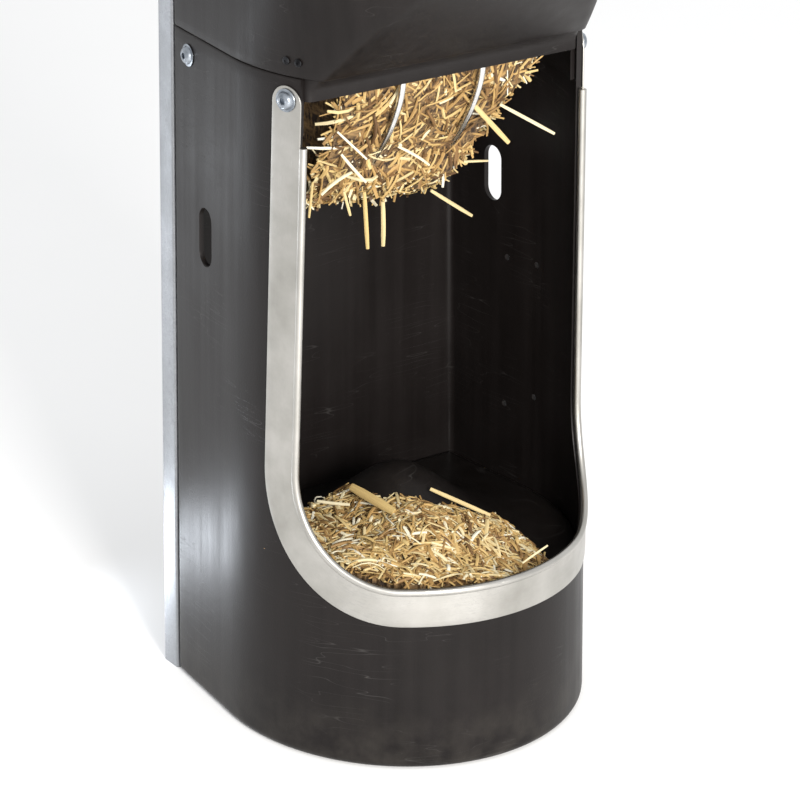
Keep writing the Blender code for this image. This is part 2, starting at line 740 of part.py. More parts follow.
# ---- Lid handle ----
def build_handle(material):
    """Strap handle bent to a hat shape, standing on the lid's flat border."""
    base = LID_TOP + GAP
    t = HANDLE_THICKNESS
    top = base + HANDLE_HEIGHT
    foot = HANDLE_HALF_SPAN
    knee = foot - HANDLE_FOOT
    over = knee - 0.012
    upper = ((foot, base + t), (knee - 0.001, base + t), (over, top))
    lower = ((foot, base), (knee, base), (over - 0.004, top - t))
    right = [Vector((x, 0, z)) for x, z in upper]
    right_low = [Vector((x, 0, z)) for x, z in lower]
    left = [Vector((-p.x, 0, p.z)) for p in right]
    left_low = [Vector((-p.x, 0, p.z)) for p in right_low]
    outline = right + list(reversed(left)) + left_low + list(reversed(right_low))
    half = HANDLE_WIDTH / 2
    bm = prism(outline, Vector((0, HANDLE_Y - half, 0)), Vector((0, HANDLE_Y + half, 0)))
    return add_object("lid_handle", bm, material, origin=HINGE_AXIS)


# ---- Assembly ----
def seam_bolt_places():
    """(name, place, seat height) of the four bolts that hold the hopper."""
    places = []
    for side, label in ((-1, "left"), (1, "right")):
        angle = side * SEAM_BOLT_FRONT_ANGLE
        front = place_along(on_front(angle, SEAM_BOLT_Z), front_normal(angle, SEAM_BOLT_Z))
        places.append((f"front_{label}", front, EDGING_GAP + SHEET + GAP))
        point, normal = on_side(SEAM_BOLT_BACK_Y, SEAM_BOLT_Z, side)
        places.append((f"back_{label}", place_along(point, normal), GAP))
    return places


def build_model():
    clear_scene()
    black = make_material("black_polyethylene", (0.022, 0.021, 0.022), 0.42)
    edge_metal = make_material("brushed_aluminium", (0.60, 0.585, 0.555), 0.34, 1.0)
    zinc = make_material("zinc_plated_steel", (0.46, 0.49, 0.51), 0.36, 1.0)
    galvanised = make_material("galvanised_steel", (0.56, 0.58, 0.60), 0.45, 0.9)
    bright = make_material("stainless_steel", (0.62, 0.61, 0.59), 0.25, 1.0)

    shell = build_shell(black)
    hopper = build_hopper(black)
    edging, edging_bead = build_edging(edge_metal)
    build_tray(black)
    lid = build_lid(black)
    front_strap = build_front_strap(bright)
    rear_strap = build_rear_strap(bright)
    build_bar("rack_bar_left", -BAR_X, bright)
    build_bar("rack_bar_right", BAR_X, bright)
    rails = {-1: build_rail("wall_rail_left", -1, galvanised), 1: build_rail("wall_rail_right", 1, galvanised)}
    handle = build_handle(bright)

    boolean(shell, build_opening_cutter())
    boolean(shell, build_slot_cutter())
    boolean(hopper, build_lip_cutter())
    boolean(lid, build_lid_back_cutter())
    add_side_holes(shell)
    add_seam_bolts(shell, hopper, edging, zinc)
    add_rail_fixings(shell, hopper, rails, zinc)
    add_rack_fixings(shell, hopper, front_strap, rear_strap, zinc)
    add_hinges(hopper, lid, galvanised, zinc)
    add_handle_rivets(lid, handle, zinc)
    cut_holes()
    boolean(edging, edging_bead, "UNION")


def add_side_holes(shell):
    for y, z in SIDE_HOLES:
        place = place_along(Vector((0.15, y, z)), Vector((1, 0, 0)))
        drill((shell,), place, SIDE_HOLE_RADIUS, 0.0, 0.12, steps=12)


def add_seam_bolts(shell, hopper, edging, zinc):
    for name, place, seat in seam_bolt_places():
        build_seam_bolt(f"seam_bolt_{name}", place, seat, zinc)
        inner_face = -(SHELL_WALL + GAP + HOPPER_WALL + NUT_CLEARANCE)
        build_nut(f"seam_nut_{name}", place @ Matrix.Translation((0, 0, inner_face)), M10_HOLE, 0.0165, 0.0095, zinc)
        targets = (shell, hopper, edging) if name.startswith("front") else (shell, hopper)
        drill(targets, place, M10_HOLE, -0.03, 0.02, steps=14)


def add_rail_fixings(shell, hopper, rails, zinc):
    for side, label in ((-1, "left"), (1, "right")):
        for level, z in RAIL_BOLT_HEIGHTS.items():
            panel = shell if z < SHELL_HEIGHT else hopper
            wall = SHELL_WALL if z < SHELL_HEIGHT else HOPPER_WALL
            x = side * (rail_outer_x(z) - RAIL_BOLT_INSET)
            place = place_along(Vector((x, -wall, z)), Vector((0, -1, 0)))
            drill((panel, rails[side]), place, M8_HOLE, -0.02, 0.012, steps=12)
            build_bolt(f"rail_bolt_{level}_{label}", place, wall + 0.014, RAIL_BOLT_HEAD, M8_RADIUS, zinc)
            seat = -(wall + GAP + RAIL_SHEET + GAP)
            build_nut(f"rail_nut_{level}_{label}", place @ Matrix.Translation((0, 0, seat)),
                      M8_HOLE, 0.013, 0.0075, zinc)
        for index, z in enumerate(RAIL_SLOT_HEIGHTS):
            boolean(rails[side], build_rail_slot(f"rail_slot_{index}_{label}", side, z))


def add_rack_fixings(shell, hopper, front_strap, rear_strap, zinc):
    strap_z = (FRONT_STRAP_LOW + FRONT_STRAP_HIGH) / 2
    for side, label in ((-1, "left"), (1, "right")):
        place = place_along(Vector((side * REAR_BOLT_X, -SHELL_WALL - GAP - STRAP, REAR_STRAP_Z)), Vector((0, -1, 0)))
        drill((shell, rear_strap), place, M8_HOLE, -0.03, 0.01, steps=12)
        build_bolt(f"rack_bolt_{label}", place, SHELL_WALL + STRAP + 0.011, 0.0095, M8_RADIUS, zinc)
        seat = -(SHELL_WALL + STRAP + GAP * 2)
        build_nut(f"rack_nut_{label}", place @ Matrix.Translation((0, 0, seat)), M8_HOLE, 0.013, 0.0075, zinc)
        for spot, angle in STRAP_RIVET_ANGLES.items():
            point = on_front(side * angle, strap_z, 0.0, hopper_section)
            normal = front_normal(side * angle, strap_z, hopper_section)
            place = place_along(point + normal * FLARE_CLEARANCE, normal)
            drill((hopper, front_strap), place, RIVET_HOLE, -0.02, 0.01)
            build_rivet(f"strap_rivet_{spot}_{label}", place, HOPPER_WALL + TAB_CLEARANCE + STRAP + FLARE_CLEARANCE, zinc)


def add_hinges(hopper, lid, galvanised, zinc):
    for side, label in ((-1, "left"), (1, "right")):
        x = side * HINGE_X
        fixed = build_hinge_leaf(f"hinge_leaf_body_{label}", x, True, galvanised)
        moving = build_hinge_leaf(f"hinge_leaf_lid_{label}", x, False, galvanised)
        build_hinge_pin(f"hinge_pin_{label}", x, zinc)
        for index, step in enumerate((-1, 1)):
            spot_x = x + step * HINGE_RIVET_X
            fixed_z = HINGE_AXIS.z - HINGE_LEAF_REACH * 0.62
            place = place_along(Vector((spot_x, GAP + HINGE_LEAF, fixed_z)), Vector((0, 1, 0)))
            drill((fixed, hopper), place, RIVET_HOLE, -0.02, 0.01)
            build_rivet(f"hinge_rivet_body_{label}_{index + 1}", place, HINGE_LEAF + GAP + HOPPER_WALL, zinc)
            lid_y = HINGE_AXIS.y - HINGE_LEAF_REACH * 0.62
            place = place_along(Vector((spot_x, lid_y, LID_TOP + GAP + HINGE_LEAF)), Vector((0, 0, 1)))
            drill((moving, lid), place, RIVET_HOLE, -0.02, 0.01)
            build_rivet(f"hinge_rivet_lid_{label}_{index + 1}", place, HINGE_LEAF + GAP + LID_THICKNESS, zinc)


def add_handle_rivets(lid, handle, zinc):
    for side, label in ((-1, "left"), (1, "right")):
        x = side * (HANDLE_HALF_SPAN - HANDLE_FOOT / 2)
        place = place_along(Vector((x, HANDLE_Y, LID_TOP + GAP + HANDLE_THICKNESS)), Vector((0, 0, 1)))
        drill((handle, lid), place, RIVET_HOLE, -0.02, 0.01)
        build_rivet(f"handle_rivet_{label}", place, HANDLE_THICKNESS + GAP + LID_THICKNESS, zinc)


build_model()
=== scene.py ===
"""Looks of the hay rack feeder: fine mouldings, folded metal, fasteners, hay, studio and camera.

Metres, +Z up. Pieces are laid out with Y = 0 on the outside of the back panel, and SHIFT, read
from the frame, moves them to the place of the CAD nodes that they stand for.
"""
import math

import bmesh
import bpy
import numpy as np
from mathutils import Matrix, Vector, noise


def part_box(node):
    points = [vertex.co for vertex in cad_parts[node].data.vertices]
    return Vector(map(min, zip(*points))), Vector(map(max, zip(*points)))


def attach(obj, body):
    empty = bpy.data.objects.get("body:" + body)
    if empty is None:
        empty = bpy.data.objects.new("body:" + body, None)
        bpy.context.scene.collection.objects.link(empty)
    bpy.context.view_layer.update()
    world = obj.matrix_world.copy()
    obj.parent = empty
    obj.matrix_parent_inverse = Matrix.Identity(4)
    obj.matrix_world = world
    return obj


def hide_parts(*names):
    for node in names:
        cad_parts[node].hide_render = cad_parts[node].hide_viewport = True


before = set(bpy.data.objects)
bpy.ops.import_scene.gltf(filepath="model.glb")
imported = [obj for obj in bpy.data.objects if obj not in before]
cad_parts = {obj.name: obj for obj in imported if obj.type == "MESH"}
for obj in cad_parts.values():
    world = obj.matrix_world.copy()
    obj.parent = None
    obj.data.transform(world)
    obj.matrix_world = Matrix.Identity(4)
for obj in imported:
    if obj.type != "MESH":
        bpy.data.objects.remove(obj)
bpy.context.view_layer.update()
SHELL_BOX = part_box("lower_body")
HOPPER_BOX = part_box("hopper")
RAIL_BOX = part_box("wall_rail_left")

# ---- Sizes of the design that the frame's boxes don't give ----
GAP = 0.0003
SHELL_WALL = 0.006
HOPPER_WALL = 0.005
SHEET = 0.0015
STRAP = 0.003
SHELL_HEIGHT = SHELL_BOX[1].z
HALF_WIDTH_BASE = 0.2213
HALF_WIDTH_TOP = 0.2085
FRONT_EXTRA = 0.0146
BACK_NARROWING = 0.0145
ARC_CENTRE_Y = -0.1687
CORNER_RADIUS = 0.014
BASE_RADIUS = 0.010
INNER_RADIUS = 0.012
LIP_ROUNDING = 0.0022
RIM_EASING = 0.0008

MEAN_RADIUS = 0.222
OPENING_ANGLE_TOP = math.radians(65.7)
OPENING_ANGLE_LOW = math.radians(68.75)
OPENING_BOTTOM = 0.2191
OPENING_CORNER = 0.1315
EDGING_WIDTH = 0.037
EDGING_OVERHANG = 0.0022
EDGING_GAP = 0.0008
BEAD_RADIUS = 0.0045
BEAD_DEPTH = -0.0003
BEAD_TOP = 0.736
TONGUE_TOP = 0.802

SLOT_Y = -0.0831
SLOT_Z = 0.583
SLOT_WIDTH = 0.030
SLOT_HEIGHT = 0.069
SIDE_HOLE_RADIUS = 0.004
SIDE_HOLES = ((-0.109, 0.482), (-0.1625, 0.4875), (-0.105, 0.2895), (-0.159, 0.315))

TRAY_LEVEL = 0.197
TRAY_CLEARANCE = 0.0015
TRAY_MOUND = 0.088
TRAY_MOUND_SPREAD = 0.064
TRAY_MOUND_Y = -0.172
TRAY_WALL = 0.004
TRAY_SHOULDER = 0.012
TRAY_FOOT = 0.013
TRAY_FOOT_TOP = 0.020
TRAY_CROWN = (0.85, 0.7, 0.55, 0.4, 0.25, 0.12, 0.04)

SKIRT_BOTTOM = 0.745
LIP_BOTTOM = 0.785
LIP_CREASE = 0.797
LIP_Y = -0.270
FRONT_SLOPE = 0.93
FLARE = 0.333
FLARE_TOP = 1.120
HOPPER_TOP = HOPPER_BOX[1].z
CREASE_ROUNDING = 0.008

LID_CLEARANCE = 0.002
LID_WALL = 0.004
LID_THICKNESS = 0.005
LID_SKIRT = 0.020
LID_LAND = 0.048
LID_PANEL_RISE = 0.010
LID_CROWN = 0.003
LID_TOP = HOPPER_TOP + GAP + LID_THICKNESS

RAIL_INSET = 0.001
RAIL_WIDTH = 0.042
RAIL_SHEET = 0.0025
RAIL_BOLT_INSET = 0.027
RAIL_BOLT_HEAD = 0.0085
RAIL_TOP = RAIL_BOX[1].z
RAIL_BACK = RAIL_BOX[1].y - SHELL_BOX[1].y
RAIL_BOLT_HEIGHTS = {"lower": 0.660, "upper": 1.080}
RAIL_SLOT_HEIGHTS = (0.200, 0.900)

BAR_RADIUS = 0.004
BAR_X = 0.054
BAR_ROUTE = ((-0.2572, 0.840), (-0.2572, 0.800), (-0.2530, 0.768), (-0.2360, 0.730), (-0.2110, 0.694),
             (-0.1780, 0.655), (-0.1350, 0.620), (-0.0850, 0.604), (-0.0400, 0.600), (-0.0105, 0.600))
FRONT_STRAP_Z = 0.831
TAB_CLEARANCE = 0.0032
FLARE_CLEARANCE = 0.0011
REAR_STRAP_Z = 0.600
REAR_BOLT_X = 0.095
REAR_BOLT_HEAD = 0.0095

SEAM_BOLT_Z = 0.7865
SEAM_BOLT_BACK_Y = -0.044
SEAM_BOLT_FRONT_ANGLE = math.radians(70.3)
NUT_CLEARANCE = 0.0014
M10_RADIUS = 0.0049
M10_HOLE = 0.0053
M8_RADIUS = 0.0039
M8_HOLE = 0.0043
# Hole radius, nominal width across the flats and thickness of each size of nut
M10_NUT = (M10_HOLE, 0.0165, 0.0095)
M8_NUT = (M8_HOLE, 0.013, 0.0075)
RIVET_RADIUS = 0.0020
RIVET_HOLE = 0.0024
RIVET_HEAD = 0.0046
STRAP_RIVET_ANGLES = {"inner": math.radians(67.4), "outer": math.radians(71.6)}
KNUCKLE_RADIUS = 0.0045
HINGE_X = 0.095
HINGE_LEAF = 0.002
HINGE_LEAF_REACH = 0.032
HINGE_RIVET_X = 0.019
HANDLE_HALF_SPAN = 0.062
HANDLE_FOOT = 0.024
HANDLE_HEIGHT = 0.032
HANDLE_THICKNESS = 0.0035
HANDLE_WIDTH = 0.022
HANDLE_Y = -0.466
HINGE_AXIS = Vector((0.0, GAP + KNUCKLE_RADIUS, LID_TOP + GAP + KNUCKLE_RADIUS))

SHIFT = Vector((0.0, SHELL_BOX[1].y, 0.0))
SIDES = ((-1, "left"), (1, "right"))

# ---- Fineness of the visible meshes ----
ARC_STEPS = 128
CORNER_STEPS = 8
SIDE_STEPS = 14
BACK_STEPS = 22
LEVEL_STEP = 0.014

# ---- Camera: stands front left, looks down on the feeder ----
CAMERA_PLACE = Vector((-2.0435, -2.86884, 1.86322))
CAMERA_YAW = math.radians(34.925)
CAMERA_PITCH = math.radians(22.743)
CAMERA_ROLL = math.radians(0.275)
CAMERA_LENS = 148.85


# ---- Materials ----
class Look:
    """A material in the making, with short names for the shader nodes that it needs."""

    def __init__(self, name, metallic=0.0, gloss=None):
        self.material = bpy.data.materials.new(name)
        self.material.use_nodes = True
        self.tree = self.material.node_tree
        self.base = self.tree.nodes["Principled BSDF"].inputs
        self.base["Metallic"].default_value = metallic
        if gloss is not None:
            self.base["Specular IOR Level"].default_value = gloss

    def put(self, socket, value):
        """Set a socket to a number, a vector or a colour, or link it to another node's output."""
        if isinstance(value, bpy.types.NodeSocket):
            self.tree.links.new(value, socket)
        elif socket.type == "RGBA":
            socket.default_value = (*value, 1.0)
        else:
            socket.default_value = value

    def node(self, kind, inputs=(), output=0, **settings):
        node = self.tree.nodes.new("ShaderNode" + kind)
        for key, value in settings.items():
            setattr(node, key, value)
        for key, value in dict(inputs).items():
            self.put(node.inputs[key], value)
        return node.outputs[output]

    def coords(self):
        return self.node("TexCoord", output="Object")

    def noise(self, coords, scale, stretch=(1.0, 1.0, 1.0), detail=4.0, turn=(0.0, 0.0, 0.0)):
        vector = self.node("Mapping", {"Vector": coords, "Scale": stretch, "Rotation": turn})
        return self.node("TexNoise", {"Vector": vector, "Scale": scale, "Detail": detail, "Roughness": 0.55})

    def remap(self, value, low, high, to_low=0.0, to_high=1.0):
        return self.node("MapRange", {"Value": value, "From Min": low, "From Max": high,
                                      "To Min": to_low, "To Max": to_high})

    def calc(self, operation, first, second=0.0, clamp=False):
        return self.node("Math", {0: first, 1: second}, operation=operation, use_clamp=clamp)

    def add(self, first, second):
        return self.calc("ADD", first, second)

    def times(self, first, second):
        return self.calc("MULTIPLY", first, second)

    def mix(self, factor, first, second):
        return self.node("Mix", {0: factor, 6: first, 7: second}, 2, data_type="RGBA")

    def bump(self, height, distance, strength, normal=None):
        inputs = {"Height": height, "Distance": distance, "Strength": strength}
        if normal is not None:
            inputs["Normal"] = normal
        return self.node("Bump", inputs)

    def hairlines(self, coords, turn, stretch, scale, width):
        """Thin broken scratches: a narrow band of a long-drawn noise, kept only in patches."""
        wave = self.noise(coords, scale, stretch, 1.0, turn)
        line = self.remap(self.calc("ABSOLUTE", self.calc("SUBTRACT", wave, 0.5)), 0.0, width, 1.0, 0.0)
        patches = self.remap(self.noise(coords, 9.0, detail=2.0, turn=turn), 0.52, 0.66)
        return self.calc("MULTIPLY", line, patches, clamp=True)

    def finish(self, colour, rough, normal=None):
        self.put(self.base["Base Color"], colour)
        self.put(self.base["Roughness"], rough)
        if normal is not None:
            self.put(self.base["Normal"], normal)
        return self.material


def black_plastic(name, dark, light, dust, gloss):
    """Semi-matt moulded polyethylene: mottled, streaked from top to bottom, finely scratched."""
    look = Look(name, gloss=gloss)
    coords = look.coords()
    mottle = look.noise(coords, 7.0, detail=6.0)
    streaks = look.noise(coords, 1.0, (70.0, 70.0, 2.2), 5.0)
    tone = look.add(look.times(mottle, 0.6), look.times(streaks, 0.4))
    scratches = look.calc("MAXIMUM", look.hairlines(coords, (0.3, 0.2, 0.5), (1.0, 1.0, 9.0), 9.0, 0.006),
                          look.hairlines(coords, (1.1, 0.4, 0.2), (1.0, 1.0, 12.0), 8.0, 0.005))
    low = look.remap(look.node("SeparateXYZ", {"Vector": coords}, "Z"), 0.0, 0.09, 1.0, 0.0)
    dusty = look.times(low, look.remap(look.noise(coords, 30.0, detail=6.0), 0.35, 0.75))
    dusty = look.times(dusty, dust)
    colour = look.mix(look.remap(tone, 0.32, 0.68), dark, light)
    colour = look.mix(look.times(scratches, 0.22), colour, (0.12, 0.115, 0.11))
    colour = look.mix(dusty, colour, (0.20, 0.18, 0.15))
    rough = look.add(look.remap(mottle, 0.3, 0.7, 0.33, 0.43), look.remap(streaks, 0.3, 0.7, -0.04, 0.05))
    rough = look.add(rough, look.times(dusty, 0.3))
    waves = look.bump(look.noise(coords, 11.0, (1.0, 1.0, 0.55), 2.0), 0.0016, 0.55)
    grain = look.bump(look.noise(coords, 420.0, detail=2.0), 0.00022, 0.5, waves)
    return look.finish(colour, rough, look.bump(scratches, 0.0002, 0.5, grain))


def edging_metal():
    """Bent aluminium strip: brushed along its length, with cloudy patches and cross scratches."""
    look = Look("brushed_aluminium", metallic=1.0)
    coords = look.coords()
    along = look.node("UVMap", uv_map="strip")
    brushed = look.noise(along, 1.0, (14.0, 1500.0, 1.0), 3.0)
    cloud = look.noise(coords, 16.0, detail=5.0)
    cross = look.calc("MAXIMUM", look.hairlines(along, (0.0, 0.0, 0.9), (1.0, 14.0, 1.0), 60.0, 0.03),
                      look.hairlines(along, (0.0, 0.0, -0.7), (1.0, 16.0, 1.0), 70.0, 0.03))
    colour = look.mix(look.remap(cloud, 0.3, 0.7), (0.36, 0.35, 0.322), (0.52, 0.505, 0.475))
    colour = look.mix(look.times(cross, 0.5), colour, (0.36, 0.35, 0.34))
    rough = look.add(look.remap(cloud, 0.3, 0.7, 0.42, 0.30), look.remap(brushed, 0.3, 0.7, -0.05, 0.06))
    lines = look.bump(brushed, 0.00012, 0.35)
    dents = look.bump(look.noise(coords, 24.0, detail=2.0), 0.0009, 0.45, lines)
    return look.finish(colour, rough, look.bump(cross, 0.0001, 0.4, dents))


def spangled_steel():
    """Hot-dip galvanised sheet: zinc spangle, dulled in patches."""
    look = Look("galvanised_steel", metallic=0.9)
    coords = look.coords()
    warp = look.noise(coords, 60.0, detail=2.0)
    offset = look.node("VectorMath", {0: coords, 1: warp}, operation="ADD")
    cells = look.node("TexVoronoi", {"Vector": offset, "Scale": 85.0}, "Color")
    spangle = look.node("SeparateXYZ", {"Vector": cells}, "X")
    dull = look.noise(coords, 14.0, detail=5.0)
    bright = look.mix(spangle, (0.25, 0.26, 0.275), (0.38, 0.39, 0.41))
    colour = look.mix(look.remap(dull, 0.45, 0.75, 0.0, 0.6), bright, (0.25, 0.26, 0.27))
    rough = look.add(look.remap(spangle, 0.0, 1.0, 0.34, 0.46), look.remap(dull, 0.4, 0.8, 0.0, 0.12))
    return look.finish(colour, rough, look.bump(spangle, 0.0001, 0.4))


def turned_metal(name, dark, light, roughness):
    """Plated or bright steel: faint colour patches, fine tool marks and handling marks."""
    look = Look(name, metallic=1.0)
    coords = look.coords()
    patches = look.noise(coords, 90.0, detail=5.0)
    fine = look.noise(coords, 900.0, detail=2.0)
    rough = look.add(look.remap(patches, 0.3, 0.7, roughness - 0.05, roughness + 0.08),
                     look.remap(fine, 0.3, 0.7, -0.02, 0.03))
    colour = look.mix(look.remap(patches, 0.35, 0.7), light, dark)
    return look.finish(colour, rough, look.bump(fine, 0.00006, 0.3))


# The darkest stops are reached mostly by deep stalks, through painted shade.
STRAW_TONES = ((0.0, (0.050, 0.026, 0.012)), (0.18, (0.16, 0.088, 0.034)), (0.42, (0.42, 0.265, 0.095)),
               (0.64, (0.57, 0.43, 0.185)), (0.84, (0.68, 0.61, 0.39)), (1.0, (0.77, 0.75, 0.62)))


def straw_material():
    """Dry stalks: each has its own tone, with long fibres, darker nodes and a slight gloss."""
    look = Look("dry_hay", gloss=0.25)
    # The tone attribute holds each stalk's own tone with painted shade by depth mixed in.
    tone, along, around = (look.node("Attribute", output="Fac", attribute_name=name)
                           for name in ("tone", "along", "around"))
    local = look.node("CombineXYZ", {"X": around, "Y": along, "Z": look.times(tone, 31.0)})
    fibres = look.noise(local, 1.0, (5.0, 30.0, 1.0), 3.0)
    blotch = look.noise(local, 1.0, (0.7, 90.0, 1.0), 3.0)
    shade = look.node("ValToRGB", {"Fac": tone})
    stops = shade.node.color_ramp.elements
    for index, (place, colour) in enumerate(STRAW_TONES):
        stop = stops[index] if index < 2 else stops.new(place)
        stop.position = place
        stop.color = (*colour, 1.0)
    colour = look.mix(look.remap(fibres, 0.3, 0.7, 0.0, 0.38), shade, (0.22, 0.12, 0.045))
    colour = look.mix(look.remap(blotch, 0.6, 0.8, 0.0, 0.5), colour, (0.12, 0.06, 0.025))
    return look.finish(colour, look.remap(fibres, 0.3, 0.7, 0.42, 0.66), look.bump(fibres, 0.0003, 0.5))


def packed_hay_shade_material():
    """The matted inside of a heap, seen only between the stalks, coloured dark as painted shade for the gaps
    between them.
    """
    look = Look("packed_hay_painted_shade")
    coords = look.coords()
    matted = look.calc("MAXIMUM", look.noise(coords, 30.0, (9.0, 1.0, 5.0), 4.0, (0.4, 0.2, 0.7)),
                       look.noise(coords, 34.0, (1.0, 8.0, 3.0), 4.0, (0.1, 0.9, 0.3)))
    # The dark end of this colour is painted shade between the stalks.
    colour = look.mix(look.remap(matted, 0.45, 0.72), (0.020, 0.010, 0.005), (0.30, 0.18, 0.07))
    return look.finish(colour, look.remap(matted, 0.4, 0.8, 0.9, 0.7), look.bump(matted, 0.003, 0.9))


def floor_material():
    look = Look("studio_floor")
    cloud = look.noise(look.coords(), 1.5, detail=3.0)
    return look.finish(look.mix(cloud, (0.90, 0.90, 0.90), (0.93, 0.93, 0.93)), 0.8)


BLACK = black_plastic("black_polyethylene", (0.0055, 0.0043, 0.0040), (0.0115, 0.0094, 0.0090), 0.12, 0.17)
# Painted shade: a slightly darker copy of the black polyethylene, with lower gloss and no dust, for the tray
# deep inside the shell.
SHADED_TRAY_BLACK = black_plastic("black_polyethylene_tray_painted_shade", (0.005, 0.0040, 0.0036), (0.011, 0.0092, 0.0085),
                            0.0, 0.16)
ALUMINIUM = edging_metal()
GALVANISED = spangled_steel()
ZINC = turned_metal("zinc_plated_steel", (0.15, 0.17, 0.195), (0.40, 0.435, 0.48), 0.28)
TARNISHED = turned_metal("tarnished_zinc", (0.012, 0.012, 0.013), (0.045, 0.046, 0.05), 0.42)
STAINLESS = turned_metal("stainless_steel", (0.60, 0.59, 0.57), (0.78, 0.77, 0.75), 0.22)
STRAW = straw_material()
# Painted shade: the dark core of the heaps behind the stalks.
PACKED_SHADE = packed_hay_shade_material()


# ---- Objects ----
def add_object(name, mesh, material=None):
    """Put a mesh that is laid out from the back panel into the frame."""
    item = bpy.data.objects.new(name, mesh)
    item.location = SHIFT
    bpy.context.scene.collection.objects.link(item)
    if material:
        mesh.materials.append(material)
    return item


def make_object(name, bm, material=None):
    bmesh.ops.recalc_face_normals(bm, faces=bm.faces)
    mesh = bpy.data.meshes.new(name)
    bm.to_mesh(mesh)
    bm.free()
    return add_object(name, mesh, material)


def apply_modifier(item, kind, **settings):
    """Add one modifier to the object and apply it to the mesh."""
    modifier = item.modifiers.new(kind.title(), kind)
    for key, value in settings.items():
        setattr(modifier, key, value)
    bpy.context.view_layer.update()
    graph = bpy.context.evaluated_depsgraph_get()
    mesh = bpy.data.meshes.new_from_object(item.evaluated_get(graph))
    old = item.data
    item.modifiers.clear()
    item.data = mesh
    bpy.data.meshes.remove(old)


def combine(item, tool, operation="DIFFERENCE"):
    """Boolean a tool into the object and delete the tool."""
    apply_modifier(item, "BOOLEAN", operation=operation, object=tool)
    bpy.data.objects.remove(tool, do_unlink=True)


def smooth(item, angle):
    item.data.shade_smooth()
    item.data.set_sharp_from_angle(angle=math.radians(angle))


def hand_over(item, body, node, angle=34.0):
    """Finish a piece: shade it, let it ride and let it stand for its CAD node."""
    smooth(item, angle)
    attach(item, body)
    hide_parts(node)


HOLES = {}


def drill(target, place, radius, low, high, steps=28):
    HOLES.setdefault(target, []).append((place, radius, low, high, steps))


def cut_holes(item, key):
    bm = bmesh.new()
    for place, radius, low, high, steps in HOLES[key]:
        add_stack(bm, turned(((radius, low), (radius, high)), steps, place))
    combine(item, make_object(key + "_holes", bm))


# ---- Mesh builders ----
def add_stack(bm, rings, closed=False):
    """Skin a stack of equal rings, and cap its two ends or join the last ring to the first."""
    loops = [[bm.verts.new(point) for point in ring] for ring in rings]
    count = len(loops[0])
    pairs = list(zip(loops, loops[1:]))
    if closed:
        pairs.append((loops[-1], loops[0]))
    for lower, upper in pairs:
        for i in range(count):
            j = (i + 1) % count
            bm.faces.new((lower[i], lower[j], upper[j], upper[i]))
    if not closed:
        bm.faces.new(loops[0])
        bm.faces.new(loops[-1])


def loft(rings, closed=False):
    bm = bmesh.new()
    add_stack(bm, rings, closed)
    return bm


def prism(outline, start, end):
    return loft([[point + start for point in outline], [point + end for point in outline]])


def block(low, high):
    outline = [Vector((low[0], low[1], 0)), Vector((high[0], low[1], 0)),
               Vector((high[0], high[1], 0)), Vector((low[0], high[1], 0))]
    return prism(outline, Vector((0, 0, low[2])), Vector((0, 0, high[2])))


def turned(profile, steps, place, hex_rings=()):
    """Spin (radius, height) points about Z; rings whose index is in hex_rings become hexagons."""
    rings = []
    for index, (radius, height) in enumerate(profile):
        ring = []
        for step in range(steps):
            angle = 2 * math.pi * step / steps
            reach = radius
            if index in hex_rings:
                reach = radius * math.cos(math.pi / 6) / math.cos(angle % (math.pi / 3) - math.pi / 6)
            ring.append(place @ Vector((reach * math.cos(angle), reach * math.sin(angle), height)))
        rings.append(ring)
    return rings


def circle(steps):
    """(cosine, sine) of evenly spaced angles right round."""
    angles = [2 * math.pi * step / steps for step in range(steps)]
    return [(math.cos(angle), math.sin(angle)) for angle in angles]


def quarter(steps, first=0):
    """(cosine, sine) of evenly spaced angles from 0 to 90 degrees, from number `first` on."""
    angles = [math.pi / 2 * step / steps for step in range(first, steps + 1)]
    return [(math.cos(angle), math.sin(angle)) for angle in angles]


def obround(centre, across, along, half_width, half_length, steps=16):
    points = []
    straight = half_length - half_width
    for side in (1, -1):
        for step in range(steps + 1):
            angle = math.pi * step / steps
            offset = across * (half_width * math.cos(angle) * side)
            offset += along * ((half_width * math.sin(angle) + straight) * side)
            points.append(centre + offset)
    return points


def rounded_path(corners, radius, steps=4):
    """2-D closed outline with each corner replaced by an arc; radius may be one per corner."""
    points = []
    count = len(corners)
    for i in range(count):
        before, here, after = (Vector(corners[(i + k) % count]) for k in (-1, 0, 1))
        size = radius[i] if isinstance(radius, (list, tuple)) else radius
        if size <= 0:
            points.append(here)
            continue
        back = (before - here).normalized()
        ahead = (after - here).normalized()
        half = back.angle(ahead) / 2
        reach = size / math.tan(half)
        centre = here + (back + ahead).normalized() * (size / math.sin(half))
        start = here + back * reach - centre
        end = here + ahead * reach - centre
        for step in range(steps + 1):
            share = step / steps
            total = start.angle(end)
            weight_a = math.sin((1 - share) * total) / math.sin(total)
            weight_b = math.sin(share * total) / math.sin(total)
            points.append(centre + start * weight_a + end * weight_b)
    return points


def place_along(point, direction):
    turn = Vector((0, 0, 1)).rotation_difference(Vector(direction)).to_matrix().to_4x4()
    return Matrix.Translation(point) @ turn


def span(low, high, step):
    """Evenly spaced values from low to high, about `step` apart, both ends included."""
    count = max(1, round((high - low) / step))
    return [low + (high - low) * i / count for i in range(count + 1)]


def ease(value, low, high):
    share = min(max((value - low) / (high - low), 0.0), 1.0)
    return share * share * (3 - 2 * share)


# ---- The D-shaped plan ----
def shell_section(z):
    half_width = HALF_WIDTH_BASE + (HALF_WIDTH_TOP - HALF_WIDTH_BASE) * z / SHELL_HEIGHT
    return half_width, half_width + FRONT_EXTRA, ARC_CENTRE_Y, half_width - BACK_NARROWING


